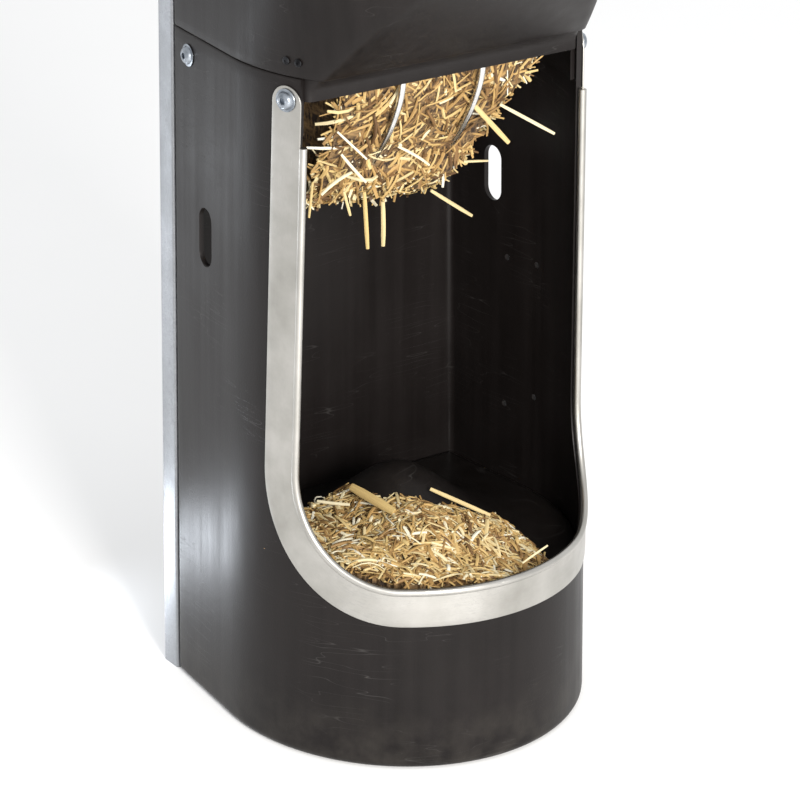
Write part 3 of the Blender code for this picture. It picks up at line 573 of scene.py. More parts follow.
def hopper_section(z):
    flare = FLARE * (min(max(z, SHELL_HEIGHT), FLARE_TOP) - SHELL_HEIGHT)
    half_width, half_depth, centre, back = shell_section(SHELL_HEIGHT)
    return half_width, half_depth, centre - flare, back


def side_slope(section):
    half_width, half_depth, centre, back = section
    a = centre ** 2 - half_depth ** 2
    b = -2 * back * centre
    c = back ** 2 - half_width ** 2
    return (-b + math.sqrt(b * b - 4 * a * c)) / (2 * a)


def front_limit(z, inset):
    return LIP_Y - FRONT_SLOPE * max(z - LIP_CREASE, 0.0) + inset


def smooth_max(a, b):
    return (a + b + math.hypot(a - b, CREASE_ROUNDING)) / 2


def between(first, second, steps):
    return [(first[0] + (second[0] - first[0]) * i / steps, first[1] + (second[1] - first[1]) * i / steps)
            for i in range(1, steps)]


def plan(section, z, inset=0.0, back_y=None, flat_front=False):
    """One closed D-shaped ring at height z, `inset` inside the given section."""
    half_width, half_depth, centre, _ = section
    slope = math.atan(side_slope(section))
    half_width -= inset
    half_depth -= inset
    back_y = -inset if back_y is None else back_y
    corner = max(CORNER_RADIUS - inset, 0.002)
    reach = math.hypot(half_width * math.cos(slope), half_depth * math.sin(slope))
    corner_y = back_y - corner
    corner_x = (reach - corner - (corner_y - centre) * math.sin(slope)) / math.cos(slope)
    first = math.atan(half_depth / half_width * math.tan(slope))
    right = []
    for step in range(CORNER_STEPS + 1):
        angle = math.pi / 2 + (slope - math.pi / 2) * step / CORNER_STEPS
        right.append((corner_x + corner * math.cos(angle), corner_y + corner * math.sin(angle)))
    front = []
    for step in range(ARC_STEPS + 1):
        angle = first - (math.pi + 2 * first) * step / ARC_STEPS
        front.append((half_width * math.cos(angle), centre + half_depth * math.sin(angle)))
    if flat_front:
        limit = front_limit(z, inset)
        front = [(x, smooth_max(y, limit)) for x, y in front]
    left = [(-x, y) for x, y in reversed(right)]
    ring = right + between(right[-1], front[0], SIDE_STEPS) + front + between(front[-1], left[0], SIDE_STEPS)
    ring += left + between(left[-1], right[0], BACK_STEPS)
    return [Vector((x, y, z)) for x, y in ring]


def on_front(angle, z, depth=0.0, section=shell_section):
    half_width, half_depth, centre, _ = section(z)
    half_width -= depth
    half_depth -= depth
    return Vector((half_width * math.sin(angle), centre - half_depth * math.cos(angle), z))


def front_normal(angle, z, section=shell_section):
    half_width, half_depth, _, _ = section(z)
    return Vector((math.sin(angle) / half_width, -math.cos(angle) / half_depth, 0)).normalized()


def on_side(y, z, side):
    section = shell_section(z)
    slope = math.atan(side_slope(section))
    half_width, half_depth, centre, _ = section
    reach = math.hypot(half_width * math.cos(slope), half_depth * math.sin(slope))
    x = (reach - (y - centre) * math.sin(slope)) / math.cos(slope)
    return Vector((side * x, y, z)), Vector((side * math.cos(slope), math.sin(slope), 0))


# ---- Places of the fasteners, which also say where holes go ----
def seam_bolt_places():
    """Each seam bolt's place on the outer wall, and the height above it at which its head sits."""
    places = {}
    for side, label in SIDES:
        angle = side * SEAM_BOLT_FRONT_ANGLE
        front = place_along(on_front(angle, SEAM_BOLT_Z), front_normal(angle, SEAM_BOLT_Z))
        places["front_" + label] = (front, EDGING_GAP + SHEET + GAP)
        places["back_" + label] = (place_along(*on_side(SEAM_BOLT_BACK_Y, SEAM_BOLT_Z, side)), GAP)
    return places


def rail_outer_x(z):
    return shell_section(z)[3] - RAIL_INSET


def rail_bolt_place(side, z):
    """Place of a rail bolt on the back panel's inner face, and the panel's thickness there."""
    wall = SHELL_WALL if z < SHELL_HEIGHT else HOPPER_WALL
    x = side * (rail_outer_x(z) - RAIL_BOLT_INSET)
    return place_along(Vector((x, -wall, z)), Vector((0, -1, 0))), wall


def rear_bolt_place(side):
    point = Vector((side * REAR_BOLT_X, -SHELL_WALL - GAP - STRAP, REAR_STRAP_Z))
    return place_along(point, Vector((0, -1, 0)))


def strap_rivet_place(angle):
    normal = front_normal(angle, FRONT_STRAP_Z, hopper_section)
    return place_along(on_front(angle, FRONT_STRAP_Z, 0.0, hopper_section) + normal * FLARE_CLEARANCE, normal)


def note_holes():
    for y, z in SIDE_HOLES:
        drill("shell", place_along(Vector((0.15, y, z)), Vector((1, 0, 0))), SIDE_HOLE_RADIUS, 0.0, 0.12)
    for name, (place, _) in seam_bolt_places().items():
        for target in ("shell", "hopper") + (("edging",) if name.startswith("front") else ()):
            drill(target, place, M10_HOLE, -0.03, 0.02)
    for side, label in SIDES:
        for z in RAIL_BOLT_HEIGHTS.values():
            for target in ("shell" if z < SHELL_HEIGHT else "hopper", "rail_" + label):
                drill(target, rail_bolt_place(side, z)[0], M8_HOLE, -0.02, 0.012)
        drill("shell", rear_bolt_place(side), M8_HOLE, -0.03, 0.01)
        for angle in STRAP_RIVET_ANGLES.values():
            drill("hopper", strap_rivet_place(side * angle), RIVET_HOLE, -0.02, 0.01, 16)


# ---- Mouldings ----
def build_shell():
    rows = [(BASE_RADIUS * (1 - cosine), BASE_RADIUS * (1 - sine)) for cosine, sine in quarter(8)]
    top, lip = SHELL_HEIGHT, SHELL_HEIGHT - LIP_ROUNDING
    rows += [(z, 0.0) for z in span(BASE_RADIUS, lip, LEVEL_STEP)[1:]]
    rows += [(lip + LIP_ROUNDING * sine, LIP_ROUNDING * (1 - cosine)) for cosine, sine in quarter(4, 1)]
    rows.append((top, SHELL_WALL - RIM_EASING))
    rings = [plan(shell_section(z), z, inset) for z, inset in rows]
    rings.append(plan(shell_section(top), top - RIM_EASING, SHELL_WALL))
    inside = reversed(span(SHELL_WALL + INNER_RADIUS, top - 0.012, LEVEL_STEP))
    rings += [plan(shell_section(z), z, SHELL_WALL) for z in inside]
    for cosine, sine in quarter(5, 1):
        z = SHELL_WALL + INNER_RADIUS * (1 - sine)
        rings.append(plan(shell_section(z), z, SHELL_WALL + INNER_RADIUS * (1 - cosine)))
    shell = make_object("shell_moulding", loft(rings), BLACK)
    combine(shell, opening_cutter())
    combine(shell, slot_cutter())
    cut_holes(shell, "shell")
    hand_over(shell, "root", "lower_body")


def opening_rows(corner_steps=36, leg_steps=34):
    """(height, half-width along the wall) up one side of the opening, from the middle of its bottom."""
    low_half = OPENING_ANGLE_LOW * MEAN_RADIUS
    top_half = OPENING_ANGLE_TOP * MEAN_RADIUS
    corner_z = OPENING_BOTTOM + OPENING_CORNER
    rows = [(corner_z - OPENING_CORNER * cosine, low_half - OPENING_CORNER * (1 - sine))
            for cosine, sine in quarter(corner_steps)]
    for step in range(1, leg_steps + 1):
        share = step / leg_steps
        rows.append((corner_z + (TONGUE_TOP - corner_z) * share, low_half + (top_half - low_half) * share))
    return rows


def opening_cutter():
    rows = opening_rows(20, 12)
    rows.append((SHELL_HEIGHT + 0.03, OPENING_ANGLE_TOP * MEAN_RADIUS))
    columns = 64
    bm = bmesh.new()
    layers = []
    for depth in (-0.02, 0.05):
        layer = []
        for z, half in rows:
            angles = [half / MEAN_RADIUS * (2 * c / columns - 1) for c in range(columns + 1)]
            layer.append([bm.verts.new(on_front(angle, z, depth)) for angle in angles])
        layers.append(layer)
    for layer in layers:
        for low, high in zip(layer, layer[1:]):
            for c in range(columns):
                bm.faces.new((low[c], low[c + 1], high[c + 1], high[c]))
    outer, inner = [border_loop(layer) for layer in layers]
    for i in range(len(outer)):
        j = (i + 1) % len(outer)
        bm.faces.new((outer[i], outer[j], inner[j], inner[i]))
    return make_object("opening_cutter", bm)


def border_loop(layer):
    right = [row[-1] for row in layer[1:-1]]
    left = [row[0] for row in reversed(layer[1:-1])]
    return layer[0] + right + list(reversed(layer[-1])) + left


def slot_cutter():
    """Both side slots in one cutter, slightly wider at the outer faces, for a rounded-looking edge."""
    bm = bmesh.new()
    surface = on_side(SLOT_Y, SLOT_Z, 1)[0].x
    for side in (-1, 1):
        rings = []
        for x, extra in ((surface - 0.03, 0.0), (surface - 0.0012, 0.0), (surface - 0.0002, 0.0004),
                         (surface + 0.0004, 0.0012), (surface + 0.02, 0.0012)):
            centre = Vector((side * x, SLOT_Y, SLOT_Z))
            rings.append(obround(centre, Vector((0, 1, 0)), Vector((0, 0, 1)),
                                 SLOT_WIDTH / 2 + extra, SLOT_HEIGHT / 2 + extra))
        add_stack(bm, rings)
    return make_object("slot_cutter", bm)


def hopper_ring(z, inset):
    section = shell_section(z) if z < SHELL_HEIGHT else hopper_section(z)
    return plan(section, z, inset, flat_front=True)


def build_hopper():
    nest = SHELL_WALL + GAP
    seat = SHELL_HEIGHT + GAP
    outer = [(z, nest) for z in span(SKIRT_BOTTOM, seat, 0.006)]
    outer += [(seat + LIP_ROUNDING * (1 - cosine), LIP_ROUNDING * (1 - sine)) for cosine, sine in quarter(4)]
    bend_low, bend_high = FLARE_TOP - 0.02, FLARE_TOP + 0.02
    for low, high, step in ((outer[-1][0], bend_low, 0.010), (bend_low, bend_high, 0.005),
                            (bend_high, HOPPER_TOP - 0.001, 0.016)):
        outer += [(z, 0.0) for z in span(low, high, step)[1:]]
    outer += [(HOPPER_TOP, 0.001)]
    inner = [(z, nest + HOPPER_WALL) for z in span(SKIRT_BOTTOM, SHELL_HEIGHT - 0.005, 0.006)]
    inner += [(z, HOPPER_WALL) for z in span(SHELL_HEIGHT + 0.006, FLARE_TOP, 0.012)]
    inner += [(z, HOPPER_WALL) for z in span(FLARE_TOP, HOPPER_TOP - 0.001, 0.016)[1:]]
    inner += [(HOPPER_TOP, HOPPER_WALL - 0.001)]
    rings = [hopper_ring(z, inset) for z, inset in outer]
    rings += [hopper_ring(z, inset) for z, inset in reversed(inner)]
    hopper = make_object("hopper_moulding", loft(rings, closed=True), BLACK)
    combine(hopper, make_object("lip_cutter", block((-0.3, -0.5, 0.6), (0.3, LIP_Y + 0.018, LIP_BOTTOM))))
    cut_holes(hopper, "hopper")
    hand_over(hopper, "root", "hopper")


def mound_height(x, y):
    spread = (x * x + (y - TRAY_MOUND_Y) ** 2) / (2 * TRAY_MOUND_SPREAD ** 2)
    return TRAY_MOUND * math.exp(-spread)


def tray_ring(inset, level, mounded=False, share=1.0):
    """Tray outline `inset` inside its side walls, drawn in to `share` of its size round the mound's top."""
    centre = Vector((0.0, TRAY_MOUND_Y, level))
    ring = plan(shell_section(level), level, SHELL_WALL + TRAY_CLEARANCE + inset)
    ring = [centre.lerp(point, share) for point in ring]
    if mounded:
        for point in ring:
            point.z += mound_height(point.x, point.y)
    return ring


def build_tray():
    base = SHELL_WALL + GAP
    shoulder = TRAY_SHOULDER
    insets = span(shoulder, 0.137, 0.004)
    under = TRAY_LEVEL - TRAY_WALL

    def mound(level):
        rings = [tray_ring(inset, level, True) for inset in insets]
        return rings + [tray_ring(insets[-1], level, True, share) for share in TRAY_CROWN]

    outer = [tray_ring(TRAY_FOOT, base)]
    outer += [tray_ring(0.0, z) for z in span(TRAY_FOOT_TOP, TRAY_LEVEL - shoulder, 0.02)]
    outer += [tray_ring(shoulder * (1 - cosine), TRAY_LEVEL - shoulder * (1 - sine))
              for cosine, sine in quarter(6, 1)[:-1]]
    outer += mound(TRAY_LEVEL)
    inner = list(reversed(mound(under)))
    inner += [tray_ring(TRAY_WALL, z) for z in reversed(span(TRAY_FOOT_TOP, under - shoulder, 0.02))]
    inner += [tray_ring(TRAY_FOOT + TRAY_WALL, base)]
    tray = make_object("trough_moulding", loft(list(reversed(outer)) + list(reversed(inner))), SHADED_TRAY_BLACK)
    hand_over(tray, "root", "trough_tray")


def build_lid():
    section = hopper_section(HOPPER_TOP)
    outset = -(LID_CLEARANCE + LID_WALL)
    under = HOPPER_TOP + GAP
    rim_z = HOPPER_TOP - LID_SKIRT
    panel = LID_LAND + 0.014
    centre = panel + 0.10
    steps = []
    for inset in reversed(span(panel, centre, 0.006)):
        steps.append((inset, LID_TOP + LID_PANEL_RISE + LID_CROWN * ease(inset, panel, centre)))
    for inset in reversed(span(LID_LAND, panel, 0.002)[:-1]):
        steps.append((inset, LID_TOP + LID_PANEL_RISE * ease(inset, LID_LAND, panel)))
    steps += [(inset, LID_TOP) for inset in (0.036, 0.024, 0.012, 0.004)]
    for cosine, sine in quarter(5):
        steps.append((outset + 0.003 * (1 - sine), LID_TOP - 0.003 * (1 - cosine)))
    steps += [(outset, LID_TOP - 0.009), (outset, rim_z + 0.001), (outset + 0.001, rim_z)]
    steps += [(-LID_CLEARANCE - 0.001, rim_z), (-LID_CLEARANCE, rim_z + 0.001), (-LID_CLEARANCE, under)]
    steps += [(inset, under) for inset in (0.012, 0.030, LID_LAND + 0.004)]
    for inset in span(LID_LAND + 0.004, panel + 0.004, 0.002)[1:]:
        steps.append((inset, under + LID_PANEL_RISE * ease(inset, LID_LAND + 0.004, panel + 0.004)))
    for inset in span(panel + 0.004, centre, 0.008)[1:]:
        steps.append((inset, under + LID_PANEL_RISE + LID_CROWN * ease(inset, panel + 0.004, centre)))
    rings = [plan(section, z, inset, back_y=-max(inset, 0.0)) for inset, z in steps]
    lid = make_object("lid_moulding", loft(rings), BLACK)
    cutter = block((-0.3, -0.018, HOPPER_TOP - 0.05), (0.3, 0.05, under + GAP))
    combine(lid, make_object("lid_back_cutter", cutter))
    hand_over(lid, "lid", "lid")


# ---- Metal edging ----
def edging_route(top):
    """Points (along, height) down the left edge, round the bottom and up the right, to height top."""
    rows = [row for row in opening_rows() if row[0] < top - 0.001]
    last_z, half_top = rows[-1]
    half_top += (OPENING_ANGLE_TOP * MEAN_RADIUS - half_top) * (top - last_z) / (TONGUE_TOP - last_z)
    right = [Vector((half, z)) for z, half in rows] + [Vector((half_top, top))]
    left = [Vector((-point.x, point.y)) for point in reversed(right)]
    spans = 24
    bottom = [left[-1].lerp(right[0], step / spans) for step in range(1, spans)]
    return left + bottom + right


def outward_normals(route):
    """Unit vectors across the route that point away from the opening."""
    normals = []
    for i in range(len(route)):
        run = route[min(i + 1, len(route) - 1)] - route[max(i - 1, 0)]
        normals.append(Vector((run.y, -run.x)).normalized())
    return normals


def edging_ring(point, normal, profile):
    ring = []
    for across, depth in profile:
        spot = point + normal * across
        ring.append(on_front(spot.x / MEAN_RADIUS, spot.y, depth))
    return ring


def edging_rings(route, normals, profile):
    return [edging_ring(point, normal, profile) for point, normal in zip(route, normals)]


def flange_profile(width, middle):
    """Flange section, `width` wide, with eased edges and a finely divided outer face."""
    near = middle - width / 2
    far = middle + width / 2
    outer, inner = -EDGING_GAP - SHEET, -EDGING_GAP
    corners = ((near, outer), (far, outer), (far, inner), (near, inner))
    size = min(1.0, width / 0.006)
    outline = rounded_path(corners, [0.0005 * size, 0.0006 * size, 0.0002 * size, 0.0002 * size], 4)
    cut = 5
    flat = between(outline[cut - 1], outline[cut], 6)
    return outline[:cut] + flat + outline[cut:]


def bead_profile():
    """Round bead section, just inside the opening's cut edge."""
    return [(BEAD_RADIUS * cosine - BEAD_RADIUS - EDGING_GAP, BEAD_DEPTH + BEAD_RADIUS * sine)
            for cosine, sine in circle(24)]


def strip_mesh(rings):
    """Skin the strip's rings, with u = distance along the strip and v = place round its section."""
    lengths = [0.0]
    for first, second in zip(rings, rings[1:]):
        lengths.append(lengths[-1] + (second[0] - first[0]).length)
    bm = loft(rings)
    layer = bm.loops.layers.uv.new("strip")
    bm.verts.index_update()
    count = len(rings[0])
    for face in bm.faces:
        for loop in face.loops:
            ring, place = divmod(loop.vert.index, count)
            loop[layer].uv = (lengths[ring], place / count * EDGING_WIDTH * 2)
    return bm


def build_edging():
    full = EDGING_WIDTH + EDGING_OVERHANG
    middle = (EDGING_WIDTH - EDGING_OVERHANG) / 2
    route = edging_route(TONGUE_TOP - full / 2)
    normals = outward_normals(route)
    rings = edging_rings(route, normals, flange_profile(full, middle))
    cap_steps = 12
    for end, neighbour in ((0, 1), (-1, -2)):
        rise = (route[end] - route[neighbour]).normalized()
        caps = []
        for step in range(1, cap_steps + 1):
            angle = math.pi / 2 * step / cap_steps * 0.985
            lifted = route[end] + rise * (full / 2 * math.sin(angle))
            caps.append(edging_ring(lifted, normals[end], flange_profile(full * math.cos(angle), middle)))
        rings = list(reversed(caps)) + rings if end == 0 else rings + caps
    edging = make_object("edging_trim", strip_mesh(rings), ALUMINIUM)
    cut_holes(edging, "edging")
    route = edging_route(BEAD_TOP)
    rings = edging_rings(route, outward_normals(route), bead_profile())
    combine(edging, make_object("edging_bead", strip_mesh(rings), ALUMINIUM), "UNION")
    hand_over(edging, "root", "opening_edging")


# ---- Rails ----
def build_rail(side, label):
    """Folded channel that leans in with the shell; its free edges and bends are rounded."""
    front = GAP
    back = RAIL_BACK
    sheet = RAIL_SHEET
    rings = []
    for z in span(0.0, RAIL_TOP, 0.06):
        outer = rail_outer_x(z)
        inner = outer - RAIL_WIDTH
        corners = ((inner, front), (outer, front), (outer, back), (inner, back), (inner, back - sheet),
                   (outer - sheet, back - sheet), (outer - sheet, front + sheet), (inner, front + sheet))
        outline = rounded_path(corners, [0.0008, 0.0034, 0.0034, 0.0008, 0.0008, 0.001, 0.001, 0.0008], 4)
        rings.append([Vector((side * point.x, point.y, z)) for point in outline])
    rail = make_object("rail_channel_" + label, loft(rings), GALVANISED)
    cut_holes(rail, "rail_" + label)
    bm = bmesh.new()
    for z in RAIL_SLOT_HEIGHTS:
        centre = Vector((side * (rail_outer_x(z) - RAIL_BOLT_INSET), back - 0.01, z))
        outline = obround(centre, Vector((1, 0, 0)), Vector((0, 0, 1)), 0.0045, 0.016)
        add_stack(bm, [outline, [point + Vector((0, 0.02, 0)) for point in outline]])
    combine(rail, make_object("rail_slots", bm))
    hand_over(rail, "root", "wall_rail_" + label)


# ---- Hay rack rods ----
def smooth_route(points, parts):
    padded = [points[0] * 2 - points[1]] + points + [points[-1] * 2 - points[-2]]
    route = []
    for a, b, c, d in zip(padded, padded[1:], padded[2:], padded[3:]):
        for part in range(parts):
            t = part / parts
            route.append((b * 2 + (c - a) * t + (a * 2 - b * 5 + c * 4 - d) * t ** 2
                          + (b * 3 - a - c * 3 + d) * t ** 3) / 2)
    return route + [points[-1]]


def build_rod(x, label):
    across = Vector((1, 0, 0))
    route = smooth_route([Vector((x, y, z)) for y, z in BAR_ROUTE], 12)
    rings = []
    for i, point in enumerate(route):
        run = (route[min(i + 1, len(route) - 1)] - route[max(i - 1, 0)]).normalized()
        up = run.cross(across).normalized()
        rings.append([point + (across * cosine + up * sine) * BAR_RADIUS for cosine, sine in circle(20)])
    rod = make_object("rack_rod_" + label, loft(rings), STAINLESS)
    hand_over(rod, "root", "rack_bar_" + label)


# ---- Fasteners: local Z points out of the head ----
def fastener(node, profile, place, steps=40, hex_rings=(), closed=False, body="root", material=ZINC):
    """Turned piece that stands for a CAD node: bolts are named screws here, nuts hexnuts, rivets pops."""
    name = node.replace("bolt", "screw").replace("nut", "hexnut").replace("rivet", "pop")
    item = make_object(name, loft(turned(profile, steps, place, hex_rings), closed), material)
    hand_over(item, body, node, angle=28.0)


def dome(radius, rise, base, end, step):
    """(radius, height) points of a dome on `base`, from its rim to the angle `end`, in radians."""
    return [(radius * math.cos(angle), base + rise * math.sin(angle)) for angle in span(0.0, end, step)]


def plain_bolt(node, head, grip, place):
    """M8 bolt with a low domed head."""
    profile = [(M8_RADIUS - 0.0006, -grip), (M8_RADIUS, -grip + 0.0006), (M8_RADIUS, GAP),
               (head - 0.0003, GAP), (head, GAP + 0.0003)]
    fastener(node, profile + dome(head, 0.0040, GAP + 0.0012, math.pi / 2 * 0.94, 0.18), place)


def seam_bolt(node, place, seat):
    """M10 bolt with a flange, a domed head and a hexagon socket."""
    head = ((M10_RADIUS, 0.0), (0.0127, 0.0), (0.0130, 0.0003), (0.0130, 0.0011), (0.0127, 0.0014),
            (0.0104, 0.0016), (0.0099, 0.0026), (0.0094, 0.0040), (0.0082, 0.0056), (0.0064, 0.0066),
            (0.0050, 0.0070), (0.0042, 0.0068), (0.0039, 0.0064), (0.0038, 0.0030))
    profile = [(M10_RADIUS - 0.0008, -0.0245), (M10_RADIUS, -0.0237)]
    profile += [(radius, seat + height) for radius, height in head]
    fastener(node, profile, place, 48, (14, 15))


def nut(node, size, place, depth):
    """Hexagon nut with a flange, `depth` behind the face that the bolt's place is on."""
    hole, across, thickness = size
    flange = across * 0.64
    hexagon = across * 0.56
    profile = ((hole, 0.0), (flange - 0.0003, 0.0), (flange, -0.0003), (flange, -0.0012), (hexagon, -0.0022),
               (hexagon, -thickness + 0.0006), (hexagon * 0.92, -thickness), (hole, -thickness))
    fastener(node, profile, place @ Matrix.Translation((0, 0, -depth)), 36, (4, 5, 6), True)


def rivet(node, grip, place, body="root", material=ZINC):
    """Blind rivet: low dome with a hole in the middle, and its pulled end behind the grip."""
    profile = [(0.0020, -grip - 0.0030), (0.0031, -grip - 0.0018), (0.0031, -grip - GAP),
               (RIVET_RADIUS, -grip - GAP), (RIVET_RADIUS, GAP), (RIVET_HEAD, GAP)]
    profile += dome(RIVET_HEAD, 0.0015, GAP + 0.0002, math.pi / 2 * 0.8, 0.25)
    profile += [(0.0011, GAP + 0.0016), (0.0010, GAP + 0.0009)]
    fastener(node, profile, place, 28, body=body, material=material)


def build_fasteners():
    for name, (place, seat) in seam_bolt_places().items():
        seam_bolt("seam_bolt_" + name, place, seat)
        nut("seam_nut_" + name, M10_NUT, place, SHELL_WALL + GAP + HOPPER_WALL + NUT_CLEARANCE)
    for side, label in SIDES:
        for level, z in RAIL_BOLT_HEIGHTS.items():
            place, wall = rail_bolt_place(side, z)
            plain_bolt(f"rail_bolt_{level}_{label}", RAIL_BOLT_HEAD, wall + 0.014, place)
            nut(f"rail_nut_{level}_{label}", M8_NUT, place, wall + GAP + RAIL_SHEET + GAP)
        rear = rear_bolt_place(side)
        plain_bolt("rack_bolt_" + label, REAR_BOLT_HEAD, SHELL_WALL + STRAP + 0.011, rear)
        nut("rack_nut_" + label, M8_NUT, rear, SHELL_WALL + STRAP + GAP * 2)
        build_rivets(side, label)


def build_rivets(side, label):
    back, up = Vector((0, 1, 0)), Vector((0, 0, 1))
    for spot, angle in STRAP_RIVET_ANGLES.items():
        rivet(f"strap_rivet_{spot}_{label}", HOPPER_WALL + TAB_CLEARANCE + STRAP + FLARE_CLEARANCE,
              strap_rivet_place(side * angle), material=TARNISHED)
    reach = HINGE_LEAF_REACH * 0.62
    for number, step in ((1, -1), (2, 1)):
        x = side * HINGE_X + step * HINGE_RIVET_X
        low = Vector((x, GAP + HINGE_LEAF, HINGE_AXIS.z - reach))
        rivet(f"hinge_rivet_body_{label}_{number}", HINGE_LEAF + GAP + HOPPER_WALL, place_along(low, back))
        top = Vector((x, HINGE_AXIS.y - reach, LID_TOP + GAP + HINGE_LEAF))
        rivet(f"hinge_rivet_lid_{label}_{number}", HINGE_LEAF + GAP + LID_THICKNESS,
              place_along(top, up), "lid")
    foot = Vector((side * (HANDLE_HALF_SPAN - HANDLE_FOOT / 2), HANDLE_Y, LID_TOP + GAP + HANDLE_THICKNESS))
    rivet("handle_rivet_" + label, HANDLE_THICKNESS + GAP + LID_THICKNESS, place_along(foot, up), "lid")


# ---- Lid handle ----
def build_handle():
    """Strap bent to a hat shape, with rounded bends and eased edges."""
    base = LID_TOP + GAP
    thick = HANDLE_THICKNESS
    top = base + HANDLE_HEIGHT
    foot = HANDLE_HALF_SPAN
    knee = foot - HANDLE_FOOT
    over = knee - 0.012
    corners = [(foot, base), (foot, base + thick), (knee - 0.001, base + thick), (over, top), (-over, top),
               (-knee + 0.001, base + thick), (-foot, base + thick), (-foot, base), (-knee, base),
               (-over + 0.004, top - thick), (over - 0.004, top - thick), (knee, base)]
    foot_end, foot_top, inner, bend = 0.0004, 0.0008, 0.0015, 0.0045
    radii = [foot_end, foot_top, inner, bend, bend, inner, foot_top, foot_end, bend, inner, inner, bend]
    outline = [Vector((x, 0, z)) for x, z in rounded_path(corners, radii, 6)]
    half = HANDLE_WIDTH / 2
    strap = prism(outline, Vector((0, HANDLE_Y - half, 0)), Vector((0, HANDLE_Y + half, 0)))
    handle = make_object("handle_strap", strap, STAINLESS)
    apply_modifier(handle, "BEVEL", width=0.0006, segments=2, limit_method="ANGLE",
                   angle_limit=math.radians(50.0), use_clamp_overlap=True)
    hand_over(handle, "lid", "lid_handle")


# ---- Hay ----
RNG = np.random.default_rng(20)
STRAW_RINGS = 5
STRAW_SIDES = 6
HAY_ROUTE = ((-0.020, 0.608), (-0.060, 0.606), (-0.110, 0.610), (-0.145, 0.618), (-0.172, 0.630),
             (-0.190, 0.650), (-0.193, 0.675), (-0.203, 0.700), (-0.218, 0.730), (-0.232, 0.762),
             (-0.236, 0.795))
HAY_CURVE = smooth_route([Vector((0.0, y, z)) for y, z in HAY_ROUTE], 6)
HAY_HALF_WIDTH = 0.152
HAY_SLOPE_X = 0.048
HAY_SLOPE = 1.75
HAY_LEFT = -0.120
HAY_TOP = 1.075
HAY_BOTTOM = 0.625
HAY_BACK = -0.024
SKIN = 0.007


def build_straws(name, centres, wide, flat, axis_u, axis_v, tone):
    """One mesh of closed stalks. centres: (n, rings, 3); wide, flat, tone: (n,); axes: (n, 3)."""
    count = len(centres)
    angles = 2 * np.pi * np.arange(STRAW_SIDES) / STRAW_SIDES
    taper = np.array([0.82, 1.0, 1.0, 1.0, 0.80])
    points = centres[:, :, None, :]
    for wave, size, axis in ((np.cos(angles), wide, axis_u), (np.sin(angles), flat, axis_v)):
        girth = (size[:, None] * taper)[:, :, None, None]
        points = points + wave[None, None, :, None] * girth * axis[:, None, None, :]
    per = STRAW_RINGS * STRAW_SIDES
    faces = []
    for ring in range(STRAW_RINGS - 1):
        for side in range(STRAW_SIDES):
            after = (side + 1) % STRAW_SIDES
            faces.append((ring * STRAW_SIDES + side, ring * STRAW_SIDES + after,
                          (ring + 1) * STRAW_SIDES + after, (ring + 1) * STRAW_SIDES + side))
    caps = (tuple(reversed(range(STRAW_SIDES))), tuple(range(per - STRAW_SIDES, per)))
    all_faces = []
    for index in range(count):
        start = index * per
        all_faces += [tuple(start + corner for corner in face) for face in faces]
        all_faces += [tuple(start + corner for corner in cap) for cap in caps]
    mesh = bpy.data.meshes.new(name)
    mesh.from_pydata(points.reshape(-1, 3).tolist(), [], all_faces)
    lengths = np.linalg.norm(centres[:, -1] - centres[:, 0], axis=1)
    along = (np.arange(STRAW_RINGS) / (STRAW_RINGS - 1))[None, :] * lengths[:, None] + tone[:, None] * 7.0
    values = {"tone": np.repeat(tone, per), "along": np.repeat(along.reshape(-1), STRAW_SIDES),
              "around": np.tile(angles, count * STRAW_RINGS)}
    for key, data in values.items():
        mesh.attributes.new(key, "FLOAT", "POINT").data.foreach_set("value", data.astype(np.float32))
    item = add_object(name, mesh, STRAW)
    smooth(item, 50.0)
    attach(item, "root")


def stalks(starts, directions, lengths, bend, up):
    """Centre lines of gently bent stalks, and the two axes across each of them."""
    share = np.linspace(0, 1, STRAW_RINGS)[None, :, None]
    axis_u = np.cross(directions, up)
    axis_u /= np.linalg.norm(axis_u, axis=1)[:, None] + 1e-9
    axis_v = np.cross(axis_u, directions)
    arch = (share * (1 - share) * 4) * bend[:, None, None]
    centres = starts[:, None, :] + directions[:, None, :] * lengths[:, None, None] * (share - 0.5)
    side = RNG.normal(0, 0.5, (len(starts), 1, 1)) * axis_u[:, None, :]
    return centres + arch * (axis_v[:, None, :] + side), axis_u, axis_v


def stalk_sizes(count):
    """Half-widths and half-thicknesses: mostly thin stems and leaves, a few thick straws."""
    kind = RNG.random(count)
    wide = np.where(kind < 0.50, RNG.uniform(0.0008, 0.0014, count), RNG.uniform(0.0013, 0.0023, count))
    wide = np.where(kind > 0.95, RNG.uniform(0.0023, 0.0031, count), wide)
    is_leaf = RNG.random(count) < 0.45
    flat = wide * np.where(is_leaf, RNG.uniform(0.25, 0.5, count), RNG.uniform(0.7, 1.0, count))
    return wide, flat


def stalk_tones_with_painted_shade(count, depth):
    """Stalk tones with painted shade: the deeper a stalk lies, the darker its tone; depth is 0 at the skin of
    the heap and 1 well inside it.
    """
    tone = RNG.normal(0.70, 0.23, count) - depth * 0.44
    return np.clip(tone, 0.02, 1.0)


def route_point(share):
    """Point of the rack's hay face in (Y, z), and its outward normal."""
    points = HAY_CURVE
    spot = share * (len(points) - 1)
    index = min(int(spot), len(points) - 2)
    start, end = points[index], points[index + 1]
    point = start.lerp(end, spot - index)
    run = (end - start).normalized()
    return point, Vector((0.0, -run.z, run.y)) * -1.0


def lumps(x, y, z, size, seed):
    return noise.noise(Vector((x / size + seed, y / size, z / size)))


